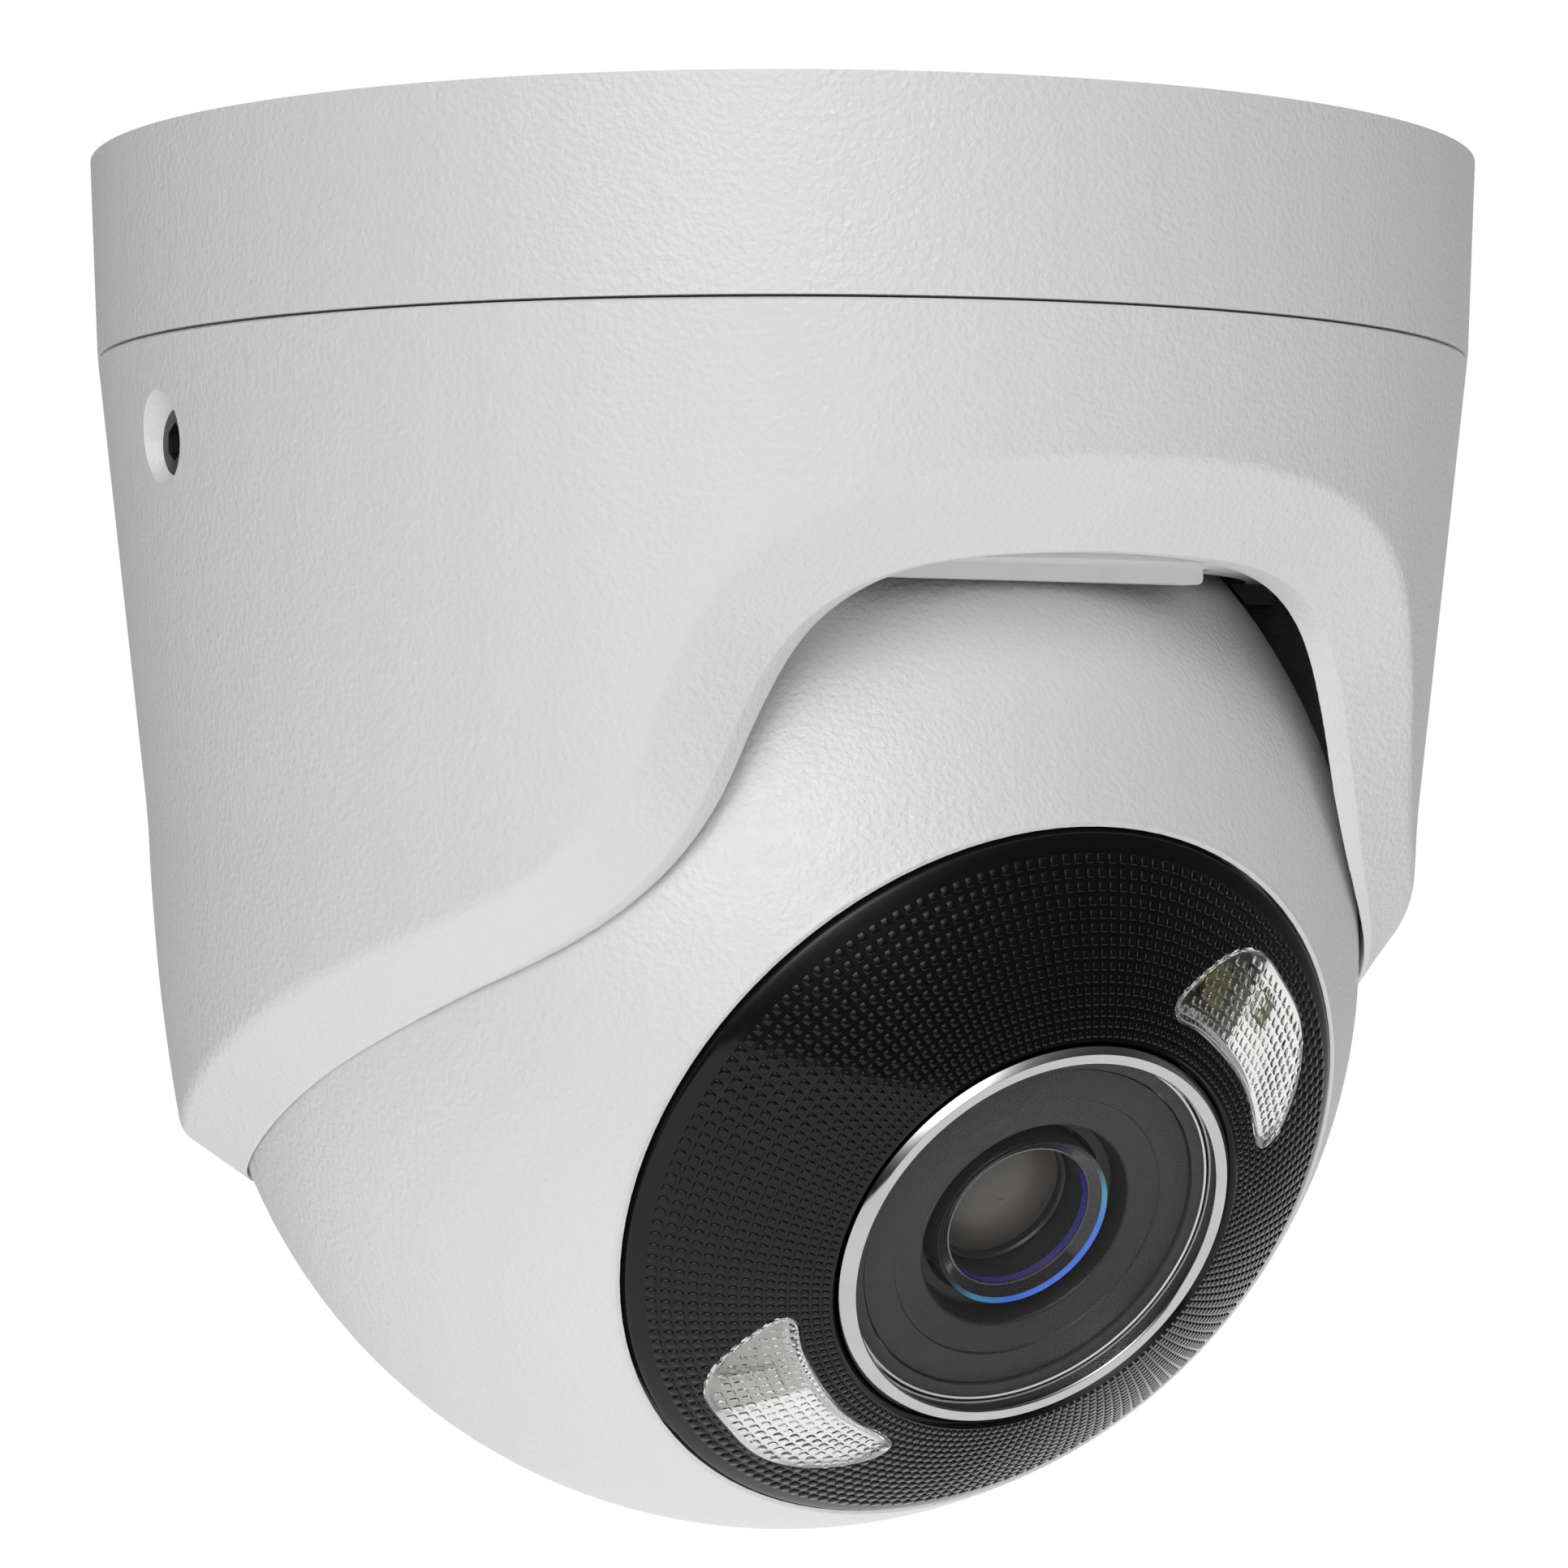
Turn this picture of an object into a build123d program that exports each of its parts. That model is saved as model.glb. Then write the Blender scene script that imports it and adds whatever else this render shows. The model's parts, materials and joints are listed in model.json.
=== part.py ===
from build123d import *
import os
from math import cos, hypot, radians, sin, sqrt

# Turret-style dome camera that hangs from a ceiling. Millimetres, +Z up.
# The origin is the centre of the ceiling face; the lens looks towards -Y, tilted down.

# ---- driving dimensions -------------------------------------------------------------
BALL_R = 45.9            # camera ball
BALL_Z = -62.2           # ball centre below the ceiling
LENS_TILT = 28.2         # lens axis below the horizontal at rest
RUN_GAP = 0.4            # clearance between the ball and what surrounds it
FLANGE_R = 55.0          # base at the ceiling
SEAM_Z = -15.35          # lower edge of the base skirt
SEAM_GAP = 0.2
SKIRT_R = 54.44          # base skirt at the seam
SPIGOT_R = 49.7          # base spigot that the housing turns on
SPIGOT_IN = 47.3
SPIGOT_Z = -26.1
BORE_R = 50.05           # housing bore around the spigot
LEDGE_Z = -27.9          # shelf in the housing that carries the ball retainer
CAVITY_R = BALL_R + RUN_GAP
LOCK_Z = -23.4           # height of the lock screw
SOFFIT_Z = -32.9         # underside of the ball retainer
SOFFIT_EDGE_Y = -37.2    # its straight front edge
PLATE_R = 43.8           # mount plate
PLATE_T = 2.5
HOLE_PCD = 70.0          # ceiling screw circle
HOLE_R = 2.3
CABLE_R = 3.0            # cable bore through the grommets
SHELL_T = 2.2            # ball shell wall
TRUNNION_R = 4.0
TRUNNION_X = 47.7
BUSH_R = 5.0
PIVOT_WALL_X = 48.0
BEZEL_R = 29.7
BEZEL_Z = 34.95          # bezel edge, from the ball centre along the lens axis
BEZEL_NECK_R = 16.45
BEZEL_TOP = 42.75
BEZEL_SAG = 0.45
BEZEL_T = 1.6
MOUTH_R = 30.0
MOUTH_Z = 32.0           # ledge in the shell mouth that carries the bezel
TRIM_R = 16.29
TRIM_FOOT_Z = 36.5
GLASS_R = 14.9
WINDOW_ANGLE = 44.5      # upper window, counter-clockwise from +X seen from the front
LED_BOARD_Z = 27.9
SINK_Z = 2.45            # rear face of the heat sink
MAIN_BOARD_Z = 6.2
SENSOR_BOARD_Z = 12.0
BOARD_T = 1.2
FILTER_TRAVEL = 6.0      # infrared-cut filter travel

NODES = {}


def add(name, shape):
    NODES[name] = shape


def rod(radius, z0, z1, x=0.0, y=0.0):
    """Round bar along Z."""
    return Pos(x, y, (z0 + z1) / 2) * Cylinder(radius, abs(z1 - z0))


def tube(r_out, r_in, z0, z1, x=0.0, y=0.0):
    """Round tube along Z."""
    return rod(r_out, z0, z1, x, y) - rod(r_in, min(z0, z1) - 1, max(z0, z1) + 1, x, y)


def block(x0, x1, y0, y1, z0, z1):
    """Rectangular block between two corners."""
    size = (x1 - x0, y1 - y0, z1 - z0)
    return Pos((x0 + x1) / 2, (y0 + y1) / 2, (z0 + z1) / 2) * Box(*size)


def spin(*points):
    """Solid of revolution about Z from a closed (radius, height) outline."""
    return revolve(Plane.XZ * make_face(Polyline(*points, close=True)), Axis.Z)


def spin_edges(*edges):
    """Solid of revolution about Z from edges drawn as (radius, height)."""
    return revolve(Plane.XZ * make_face(Curve() + list(edges)), Axis.Z)


def ring_of(count, radius, start=0.0):
    """Places evenly round a circle about Z, as (x, y) pairs."""
    angles = [radians(start + 360.0 * i / count) for i in range(count)]
    return [(radius * cos(a), radius * sin(a)) for a in angles]


def along_x(shape, z):
    """Turns a shape made along Z so that it points along +X at a height."""
    return Pos(0, 0, z) * Rot(0, 90, 0) * shape


def screw(x, y, seat_z, length, shank_r, head_r, head_h, up=True):
    """Cylinder-head screw with a hex socket. The shank points up or down from its seat."""
    way = 1 if up else -1
    shank = rod(shank_r, seat_z, seat_z + way * length, x, y)
    head = rod(head_r, seat_z, seat_z - way * head_h, x, y)
    socket_bar = extrude(RegularPolygon(head_r * 0.5, 6), head_h)
    socket_z = seat_z - way * head_h - head_h * 0.5
    return shank + head - Pos(x, y, socket_z) * socket_bar


def group(shapes):
    """Several separate solids kept in one node."""
    solids = []
    for shape in shapes:
        solids.extend(shape.solids())
    return Compound(children=solids)


def sphere_at(radius, z=BALL_Z):
    return Pos(0, 0, z) * Sphere(radius)


# ---- base: fixed to the ceiling -----------------------------------------------------
FLANGE_T = 3.0
SKIRT_T = 2.6
CLAMP_Z0 = -2.6          # inner flange that clamps the mount plate
CLAMP_Z1 = -4.8
CLAMP_R = 40.0
GASKET_R0 = 50.7
GASKET_R1 = 53.3
GASKET_T = 1.1
SNAP_Z = -18.6
SNAP_H = 1.6
BASE_SCREW_R = 42.0
BASE_SCREW_SHANK = 1.4


def base_ring():
    body = spin(
        (FLANGE_R, 0), (SKIRT_R, SEAM_Z), (SKIRT_R - SKIRT_T, SEAM_Z),
        (FLANGE_R - SKIRT_T, -FLANGE_T), (SPIGOT_R, -FLANGE_T), (SPIGOT_R, SPIGOT_Z),
        (SPIGOT_IN, SPIGOT_Z), (SPIGOT_IN, CLAMP_Z1), (CLAMP_R, CLAMP_Z1),
        (CLAMP_R, CLAMP_Z0), (PLATE_R + 0.2, CLAMP_Z0), (PLATE_R + 0.2, 0),
    )
    body -= tube(GASKET_R1 + 0.1, GASKET_R0 - 0.1, -GASKET_T - 0.1, 1)
    body -= tube(SPIGOT_R + 1, SPIGOT_R - 0.9, SNAP_Z - SNAP_H / 2 - 0.3, SNAP_Z + SNAP_H / 2 + 0.3)
    body -= tube(SPIGOT_R + 1, SPIGOT_R - 0.6, LOCK_Z - 2.2, LOCK_Z + 2.2)
    for x, y in ring_of(3, BASE_SCREW_R, 30):
        body -= rod(BASE_SCREW_SHANK + 0.2, -6, 1, x, y)
    return body


def mount_plate():
    plate = rod(PLATE_R, -PLATE_T, 0) - rod(9.0, -4, 1)
    for x, y in ring_of(4, HOLE_PCD / 2, 45):
        plate -= rod(HOLE_R, -4, 1, x, y)
    for x, y in ring_of(3, BASE_SCREW_R, 30):
        plate -= rod(BASE_SCREW_SHANK + 0.05, -4, 1, x, y)
    return plate


def cable_grommet():
    return spin(
        (8.9, 0), (8.9, -PLATE_T), (11.5, -PLATE_T), (11.5, -4.0), (6.5, -5.2),
        (CABLE_R, -5.2), (CABLE_R, 0),
    )


add("base_ring", base_ring())
add("mount_plate", mount_plate())
add("mounting_gasket", tube(GASKET_R1, GASKET_R0, -GASKET_T, 0))
add("cable_grommet", cable_grommet())
add("base_screws", group([
    screw(x, y, CLAMP_Z1, 4.0, BASE_SCREW_SHANK, 1.9, 1.6)
    for x, y in ring_of(3, BASE_SCREW_R, 30)
]))

# ---- housing: turns on the base -----------------------------------------------------
# Side wall from the seam down; below the opening it carries on as if it weren't cut.
WALL = [(50.6, -50.5), (50.2, -57.0), (49.35, -66.4), (47.76, -76.7), (45.6, -86.0)]
WALL_TOP = (54.4, SEAM_Z - SEAM_GAP)
# The opening has a wide chamfer. Each list runs from the front (0 degrees) to the back.
# Chamfer's edge on the wall: degrees from the front, height.
CHAMFER_EDGE = [
    (0, -26.05), (9, -26.3), (17, -27.3), (23.5, -28.8), (29.6, -31.4), (33.8, -34.4),
    (36.8, -38.2), (39.3, -42.5), (41.8, -47.6), (45.6, -52.4), (52, -56.5), (62, -60.0),
    (72, -62.95), (84, -67.0), (96.5, -71.4), (108, -75.1), (121, -77.2), (145, -78.0),
    (180, -78.2),
]
# Chamfer's edge at the opening: degrees from the front, radius, height.
OPENING_EDGE = [
    (0, 48.6, -32.5), (7, 48.6, -32.65), (14.2, 48.5, -33.1), (20.6, 48.3, -34.2),
    (25.6, 48.1, -36.1), (29.2, 47.9, -38.6), (32.0, 47.8, -41.9), (34.2, 47.7, -45.6),
    (36.6, 47.6, -50.0), (40.6, 47.3, -54.8), (48.0, 47.0, -59.6), (57, 46.7, -63.2),
    (66, 46.2, -66.3), (77.4, 45.6, -70.15), (91, 44.6, -74.9), (103, 43.5, -78.2),
    (117, 42.6, -80.4), (142, 42.2, -81.4), (180, 42.1, -81.6),
]
# Inner end of the short rim wall behind that edge: degrees, radius, height.
RIM_END = [
    (0, 43.5, -32.4), (6, 43.5, -32.5), (12, 43.4, -32.9), (17.6, 43.2, -33.9),
    (21.8, 43.0, -35.8), (24.6, 42.8, -38.4), (26.6, 42.7, -41.8), (28.6, 42.6, -45.7),
    (31.2, 42.5, -50.6), (36.0, 42.2, -56.0), (45.0, 42.2, -61.6), (56, 42.4, -65.6),
    (66, 42.2, -69.0), (77.4, 41.6, -72.9), (91, 40.6, -77.8), (103, 39.4, -81.2),
    (117, 38.4, -83.6), (142, 37.9, -84.7), (180, 37.8, -84.9),
]
CHAMFER_RUN_OUT = 0.9    # how far the chamfer's surface is carried past the wall
RETAINER_SCREW_R = 48.1
RETAINER_FLANGE_T = 1.4
RETAINER_WALL_R = 44.7
WEB_T = 1.7
WEB_HOLE_R = 37.0
WIPER_HALF = 14.0        # half the length of the smooth bar at the front of the arch
WIPER_PEG_X = 9.0
WIPER_PEG_R = 0.45
WIPER_PEG_Y = 0.8
INSERT_R = 3.4           # threaded insert of the lock screw
SCREW_R = 2.32


def polar_point(angle, radius, z):
    """Point at an angle from the front, positive towards +X."""
    return Vector(radius * sin(radians(angle)), -radius * cos(radians(angle)), z)


def wall_radius(z):
    """Radius of the side wall at a height, straight between its named points."""
    points = [WALL_TOP] + WALL
    for (r0, z0), (r1, z1) in zip(points, points[1:]):
        if z >= z1:
            return r0 + (r1 - r0) * (z - z0) / (z1 - z0)
    return points[-1][0]


def closed_loop(points):
    """Closed curve through points listed from the front to the back of the right half."""
    left = [Vector(-p.X, p.Y, p.Z) for p in points[1:-1]]
    return Wire([Spline(*(list(reversed(points)) + left), periodic=True)])


def opening_cutter():
    wall = [polar_point(a, wall_radius(z), z) for a, z in CHAMFER_EDGE]
    edge = [polar_point(*p) for p in OPENING_EDGE]
    rim = [polar_point(*p) for p in RIM_END]
    outside = [w + (w - e) * CHAMFER_RUN_OUT for w, e in zip(wall, edge)]
    angles = [a for a, z in CHAMFER_EDGE]
    outer_foot = [polar_point(a, 80.0, -130.0) for a in angles]
    inner_foot = [polar_point(a, 22.0, -112.0) for a in angles]
    loops = [closed_loop(p) for p in (outer_foot, outside, edge, rim, inner_foot)]
    return Solid.make_loft(loops, ruled=True)


def housing_shell():
    wall_slope = (WALL[0][0] - WALL_TOP[0], WALL[0][1] - WALL_TOP[1])
    foot_slope = (WALL[-1][0] - WALL[-2][0], WALL[-1][1] - WALL[-2][1])
    solid = spin_edges(
        Line(WALL_TOP, WALL[0]), Spline(*WALL, tangents=[wall_slope, foot_slope]),
        Line(WALL[-1], (0, WALL[-1][1])),
        Line((0, WALL[-1][1]), (0, WALL_TOP[1])),
        Line((0, WALL_TOP[1]), WALL_TOP),
    )
    solid -= rod(BORE_R, LEDGE_Z, 0)
    solid -= rod(CAVITY_R, BALL_Z, LEDGE_Z + 1)
    solid -= sphere_at(CAVITY_R)
    solid -= opening_cutter()
    solid -= tube(BORE_R + 1.1, BORE_R - 1, SNAP_Z - SNAP_H / 2 - 0.05, SNAP_Z + SNAP_H / 2 + 0.05)
    solid -= tube(52.9, 51.6, -17.0, -15)
    solid -= along_x(rod(SCREW_R + 0.08, -60, -45), LOCK_Z)
    solid -= along_x(rod(INSERT_R + 0.05, -52.3, -45), LOCK_Z)
    solid -= along_x(Pos(0, 0, -53.3) * Cone(4.1, 2.5, 2.0), LOCK_Z)
    slot = block(46.0, PIVOT_WALL_X, -BUSH_R - 0.05, BUSH_R + 0.05, BALL_Z, LEDGE_Z + 1)
    slot += along_x(rod(BUSH_R + 0.05, 45.0, PIVOT_WALL_X), BALL_Z)
    solid -= slot
    solid -= mirror(slot, Plane.YZ)
    for x, y in ring_of(4, RETAINER_SCREW_R, 45):
        solid -= rod(1.05, LEDGE_Z - 5.2, LEDGE_Z + 1, x, y)
    return solid.solids().sort_by(SortBy.VOLUME)[-1]


def ball_retainer():
    ring = spin(
        (BORE_R - 0.15, LEDGE_Z), (BORE_R - 0.15, LEDGE_Z + RETAINER_FLANGE_T),
        (RETAINER_WALL_R, LEDGE_Z + RETAINER_FLANGE_T), (RETAINER_WALL_R, SOFFIT_Z + WEB_T),
        (WEB_HOLE_R, SOFFIT_Z + WEB_T), (WEB_HOLE_R, SOFFIT_Z), (46.1, SOFFIT_Z),
        (46.1, LEDGE_Z),
    )
    ring -= block(-16, 16, SOFFIT_EDGE_Y, -30, SOFFIT_Z - 1, SOFFIT_Z + 4)
    for x in (-WIPER_PEG_X, WIPER_PEG_X):
        ring -= rod(WIPER_PEG_R + 0.05, SOFFIT_Z - 1, SOFFIT_Z + 4, x, SOFFIT_EDGE_Y - WIPER_PEG_Y)
    for x, y in ring_of(4, RETAINER_SCREW_R, 45):
        ring -= rod(1.15, LEDGE_Z - 1, LEDGE_Z + 3, x, y)
    return ring


def front_wiper():
    y0, y1 = SOFFIT_EDGE_Y - 1.4, SOFFIT_EDGE_Y + 0.2
    bar = block(-WIPER_HALF, WIPER_HALF, y0, y1, SOFFIT_Z - 1.2, SOFFIT_Z)
    bar = fillet(bar.edges().filter_by(Axis.Y).sort_by(Axis.Z)[:2], 0.5)
    for x in (-WIPER_PEG_X, WIPER_PEG_X):
        bar += rod(WIPER_PEG_R, SOFFIT_Z - 0.5, SOFFIT_Z + WEB_T, x, SOFFIT_EDGE_Y - WIPER_PEG_Y)
    return bar


def friction_ring():
    """Ring under the retainer's web whose inside follows the ball."""
    z0, z1 = SOFFIT_Z - 1.6, SOFFIT_Z
    ring = tube(39.4, 30.0, z0, z1) - sphere_at(BALL_R + 0.3)
    ring -= block(-60, 60, -60, -20, z0 - 1, z1 + 1)
    return ring


def pan_snap_ring():
    ring = tube(BORE_R + 0.9, SPIGOT_R - 0.55, SNAP_Z - SNAP_H / 2, SNAP_Z + SNAP_H / 2)
    return ring - block(-2.5, 2.5, 40, 60, SNAP_Z - 3, SNAP_Z + 3)


def trunnion_bushes():
    bush = along_x(tube(BUSH_R, TRUNNION_R + 0.08, 46.45, 47.9), BALL_Z)
    return group([bush, mirror(bush, Plane.YZ)])


def trunnion_keepers():
    keeper = block(46.45, 47.9, -BUSH_R + 0.05, BUSH_R - 0.05, BALL_Z + 1.5, LEDGE_Z - 0.1)
    keeper -= along_x(rod(BUSH_R + 0.05, 45, 50), BALL_Z)
    keeper = keeper.solids().sort_by(SortBy.VOLUME)[-1]
    return group([keeper, mirror(keeper, Plane.YZ)])


add("housing_shell", housing_shell())
add("ball_retainer", ball_retainer())
add("front_wiper", front_wiper())
add("friction_ring", friction_ring())
add("retainer_screws", group([
    screw(x, y, LEDGE_Z + RETAINER_FLANGE_T, 5.5, 1.0, 1.6, 0.35, up=False)
    for x, y in ring_of(4, RETAINER_SCREW_R, 45)
]))
add("pan_snap_ring", pan_snap_ring())
add("pan_seal", tube(52.8, 51.7, -16.9, SEAM_Z - SEAM_GAP))
add("trunnion_bushes", trunnion_bushes())
add("trunnion_keepers", trunnion_keepers())
add("lock_insert", along_x(tube(INSERT_R, SCREW_R + 0.08, -52.25, -50.15), LOCK_Z))

# ---- lock screw: turns in its insert and drives a pad onto the spigot -----------------
HEX_R = 1.45             # corner radius of the 2.5 mm hexagon socket
hex_socket = Pos(0, 0, -52.6) * extrude(RegularPolygon(HEX_R, 6), 1.5)
add("lock_screw", along_x(rod(SCREW_R, -52.4, -50.6) - hex_socket, LOCK_Z))
add("lock_pad", along_x(rod(1.8, -50.55, -49.9), LOCK_Z))

# ---- head frame: +Z along the lens, +X sideways, +Y towards the ball's top ------------
TILT = radians(LENS_TILT)
HEAD = Plane(origin=(0, 0, BALL_Z), x_dir=(1, 0, 0), z_dir=(0, -cos(TILT), -sin(TILT))).location
SEAM_FRONT = 0.1         # front shell's rear edge
SEAM_REAR = -0.35        # rear cup's front edge
INNER_R = BALL_R - SHELL_T
ROLL_R = 40.9            # spigot of the head that turns in the rear cup
ROLL_BORE_R = 40.98
ROLL_FLANGE_Z = -2.85
POLE_HOLE_R = 14.0       # cable hole at the back of the rear cup
DOOR_ANGLE = 70.0        # card door, from the lens axis towards the ball's underside
DOOR_T = 1.5
DOOR_SIZE = (17.0, 9.0, 2.0)
BOSS_R = 35.5
MIC_ANGLE = 56.0


def arc_point(radius, r=None, z=None):
    """Point of a circle about the ball centre, as (radius, height)."""
    if r is None:
        return (sqrt(radius ** 2 - z ** 2), z)
    return (r, sqrt(radius ** 2 - r ** 2))


def dome_arc(radius, start, end):
    """Arc about the ball centre between two of its points."""
    middle = Vector((start[0] + end[0]) / 2, (start[1] + end[1]) / 2)
    return ThreePointArc(start, middle * (radius / middle.length), end)


def rear_cup():
    outer0 = arc_point(BALL_R, z=SEAM_REAR)
    outer1 = (POLE_HOLE_R, -sqrt(BALL_R ** 2 - POLE_HOLE_R ** 2))
    inner1 = (POLE_HOLE_R, -sqrt(INNER_R ** 2 - POLE_HOLE_R ** 2))
    inner0 = arc_point(INNER_R, z=ROLL_FLANGE_Z)
    cup = spin_edges(
        dome_arc(BALL_R, outer0, outer1), Line(outer1, inner1),
        dome_arc(INNER_R, inner1, inner0), Line(inner0, (ROLL_BORE_R, ROLL_FLANGE_Z)),
        Line((ROLL_BORE_R, ROLL_FLANGE_Z), (ROLL_BORE_R, SEAM_REAR)),
        Line((ROLL_BORE_R, SEAM_REAR), outer0),
    )
    front_room = Sphere(BALL_R + 0.3) & block(-60, 60, -60, 60, SEAM_REAR, 60)
    for way in (-1, 1):
        trunnion = Rot(0, 90, 0) * rod(TRUNNION_R, 44.6, TRUNNION_X)
        trunnion = trunnion if way > 0 else mirror(trunnion, Plane.YZ)
        cup += trunnion - front_room
    return cup - Sphere(INNER_R - 1.2)


def card_door_prism(grow=0.0):
    """Block that points out of the ball below the bezel, with rounded corners."""
    width, height, corner = DOOR_SIZE
    face = RectangleRounded(width + 2 * grow, height + 2 * grow, corner + grow)
    return Rot(DOOR_ANGLE, 0, 0) * Pos(0, 0, 38) * extrude(face, 12)


def ball_front_shell():
    rear_out = arc_point(BALL_R, z=SEAM_FRONT)
    rear_in = arc_point(INNER_R, z=SEAM_FRONT)
    mouth_out = arc_point(BALL_R, r=MOUTH_R + 0.6)
    lip = (MOUTH_R + 0.35, mouth_out[1] + 0.3)
    inner_top = arc_point(INNER_R, z=MOUTH_Z - 2.0)
    shell = spin_edges(
        dome_arc(BALL_R, rear_out, mouth_out), Line(mouth_out, lip),
        Line(lip, (MOUTH_R, lip[1])), Line((MOUTH_R, lip[1]), (MOUTH_R, MOUTH_Z)),
        Line((MOUTH_R, MOUTH_Z), (26.5, MOUTH_Z)), Line((26.5, MOUTH_Z), (26.5, MOUTH_Z - 2)),
        Line((26.5, MOUTH_Z - 2), inner_top),
        dome_arc(INNER_R, inner_top, rear_in), Line(rear_in, rear_out),
    )
    for x, y in ring_of(3, BOSS_R, 90):
        boss = rod(2.6, 2.45, 30, x, y) & Sphere(INNER_R + 0.5)
        shell += boss - rod(1.0, 1, 12, x, y)
    door_recess = card_door_prism(0.12) - Sphere(BALL_R - DOOR_T - 0.05)
    return shell - door_recess - card_door_prism(-1.0)


def card_door():
    layer = Sphere(BALL_R) - Sphere(BALL_R - DOOR_T)
    door = card_door_prism() & layer
    notch = Rot(DOOR_ANGLE, 0, 0) * Pos(0, 4.6, 45) * Cylinder(1.1, 4)
    return door - notch


def head_back_plate():
    plate = tube(43.2, 6.5, 0.4, SINK_Z - 0.05)
    plate += tube(ROLL_R, ROLL_R - 2.0, -3.0, 0.4)
    for x, y in ring_of(3, BOSS_R, 90):
        plate -= rod(1.15, 0, 3, x, y)
    for x, y in ring_of(4, ROLL_R - 1.0, 45):
        plate -= rod(0.65, -4, 1.6, x, y)
    return plate


def roll_retainer():
    ring = tube(43.0, 36.5, -3.05, -4.5)
    for x, y in ring_of(4, ROLL_R - 1.0, 45):
        ring -= rod(0.8, -6, -2, x, y)
    return ring


def back_gland():
    return spin(
        (6.4, 0.35), (6.4, 2.4), (7.2, 2.4), (7.2, 3.4), (CABLE_R, 3.4),
        (CABLE_R, -5.0), (4.6, -5.0), (8.4, -1.2), (8.4, 0.35),
    )


def cup_grommet():
    z_in = -sqrt(INNER_R ** 2 - POLE_HOLE_R ** 2)
    z_out = -sqrt(BALL_R ** 2 - POLE_HOLE_R ** 2)
    return tube(POLE_HOLE_R - 0.05, 5.0, z_in, z_out)


add("rear_cup", rear_cup())
add("cup_grommet", cup_grommet())
add("ball_front_shell", ball_front_shell())
add("card_door", card_door())
add("roll_seal", tube(BALL_R - 0.06, INNER_R + 0.9, -0.1, SEAM_FRONT))
add("head_back_plate", head_back_plate())
add("roll_retainer", roll_retainer())
add("back_gland", back_gland())
add("roll_screws", group([
    screw(x, y, -4.5, 5.8, 0.6, 1.3, 0.9) for x, y in ring_of(4, ROLL_R - 1.0, 45)
]))
add("shell_screws", group([
    screw(x, y, 0.4, 9.0, 0.95, 1.8, 1.4) for x, y in ring_of(3, BOSS_R, 90)
]))

# ---- bezel, windows and front glass ---------------------------------------------------
RIM_START = (BEZEL_R, BEZEL_Z)
CREST_END = (BEZEL_NECK_R + 0.4, BEZEL_TOP - 0.15)


def bezel_point(r, depth):
    """Point of the bezel's surface at a radius, moved down by a depth."""
    share = (r - CREST_END[0]) / (RIM_START[0] - CREST_END[0])
    slope_length = hypot(RIM_START[0] - CREST_END[0], RIM_START[1] - CREST_END[1])
    rise = BEZEL_SAG * slope_length / (RIM_START[0] - CREST_END[0]) * 4 * share * (1 - share)
    return (r, CREST_END[1] + (RIM_START[1] - CREST_END[1]) * share + rise - depth)


def bezel_arc(depth, r0=RIM_START[0], r1=CREST_END[0]):
    """The bezel's outer curve between two radii, moved down by a depth."""
    ends = bezel_point(r0, depth), bezel_point(r1, depth)
    return ThreePointArc(ends[0], bezel_point((r0 + r1) / 2, depth), ends[1]), *ends


def bezel_layer(top, bottom):
    """Revolved layer that follows the bezel's surface between two depths."""
    upper, upper_rim, upper_crest = bezel_arc(top)
    lower, lower_rim, lower_crest = bezel_arc(bottom)
    return spin_edges(upper, Line(upper_crest, lower_crest), lower, Line(lower_rim, upper_rim))


# A window's outline: degrees from its middle, radius. The blunt end comes first.
WINDOW_OUTLINE = [
    (0, 26.6), (7, 26.6), (11.5, 25.9), (16, 24.5), (20.5, 22.6), (24, 21.0), (25.1, 20.1),
    (24, 19.3), (20, 19.1), (10, 19.07), (0, 19.07), (-12, 19.07), (-23, 19.1), (-26.6, 19.6),
    (-27.6, 21.2), (-25, 23.1), (-20, 25.1), (-11, 26.6),
]
# Emitters behind each window: degrees from the window's middle, distance from the lens axis.
LED_PLACES = [(-13, 22.2), (13, 22.2)]


def window_outline(grow, hand):
    """Closed outline of a window about the lens axis, grown or shrunk all round."""
    loop = []
    for angle, radius in WINDOW_OUTLINE:
        turn = radians(angle * hand)
        loop.append(Vector(radius * cos(turn), radius * sin(turn)))
    points = []
    for before, at, after in zip(loop[-1:] + loop[:-1], loop, loop[1:] + loop[:1]):
        along = (after - before).normalized()
        points.append(at + Vector(along.Y, -along.X) * grow * hand)
    return make_face(Spline(*points, periodic=True))


def window_prism(side, grow, z0=25.0, z1=46.0):
    """Column with a window's outline. The two windows, side 0 and 180, mirror each other."""
    hand = -1 if side else 1
    return Rot(0, 0, WINDOW_ANGLE + side) * Pos(0, 0, z0) * extrude(window_outline(grow, hand), z1 - z0)


def front_bezel():
    top, rim, crest = bezel_arc(0)
    wall_in = BEZEL_R - 1.5
    neck_in = BEZEL_NECK_R + 1.2
    under, under_rim, under_neck = bezel_arc(BEZEL_T, wall_in, neck_in)
    foot = MOUTH_Z + 0.05
    bezel = spin_edges(
        top, Line(crest, (BEZEL_NECK_R, crest[1] - 0.4)),
        Line((BEZEL_NECK_R, crest[1] - 0.4), (BEZEL_NECK_R, TRIM_FOOT_Z)),
        Line((BEZEL_NECK_R, TRIM_FOOT_Z), (neck_in, TRIM_FOOT_Z)),
        Line((neck_in, TRIM_FOOT_Z), under_neck), under,
        Line(under_rim, (wall_in, foot)), Line((wall_in, foot), (BEZEL_R, foot)),
        Line((BEZEL_R, foot), rim),
    )
    for turn in (0, 180):
        bezel -= window_prism(turn, 0)
    return bezel


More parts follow.
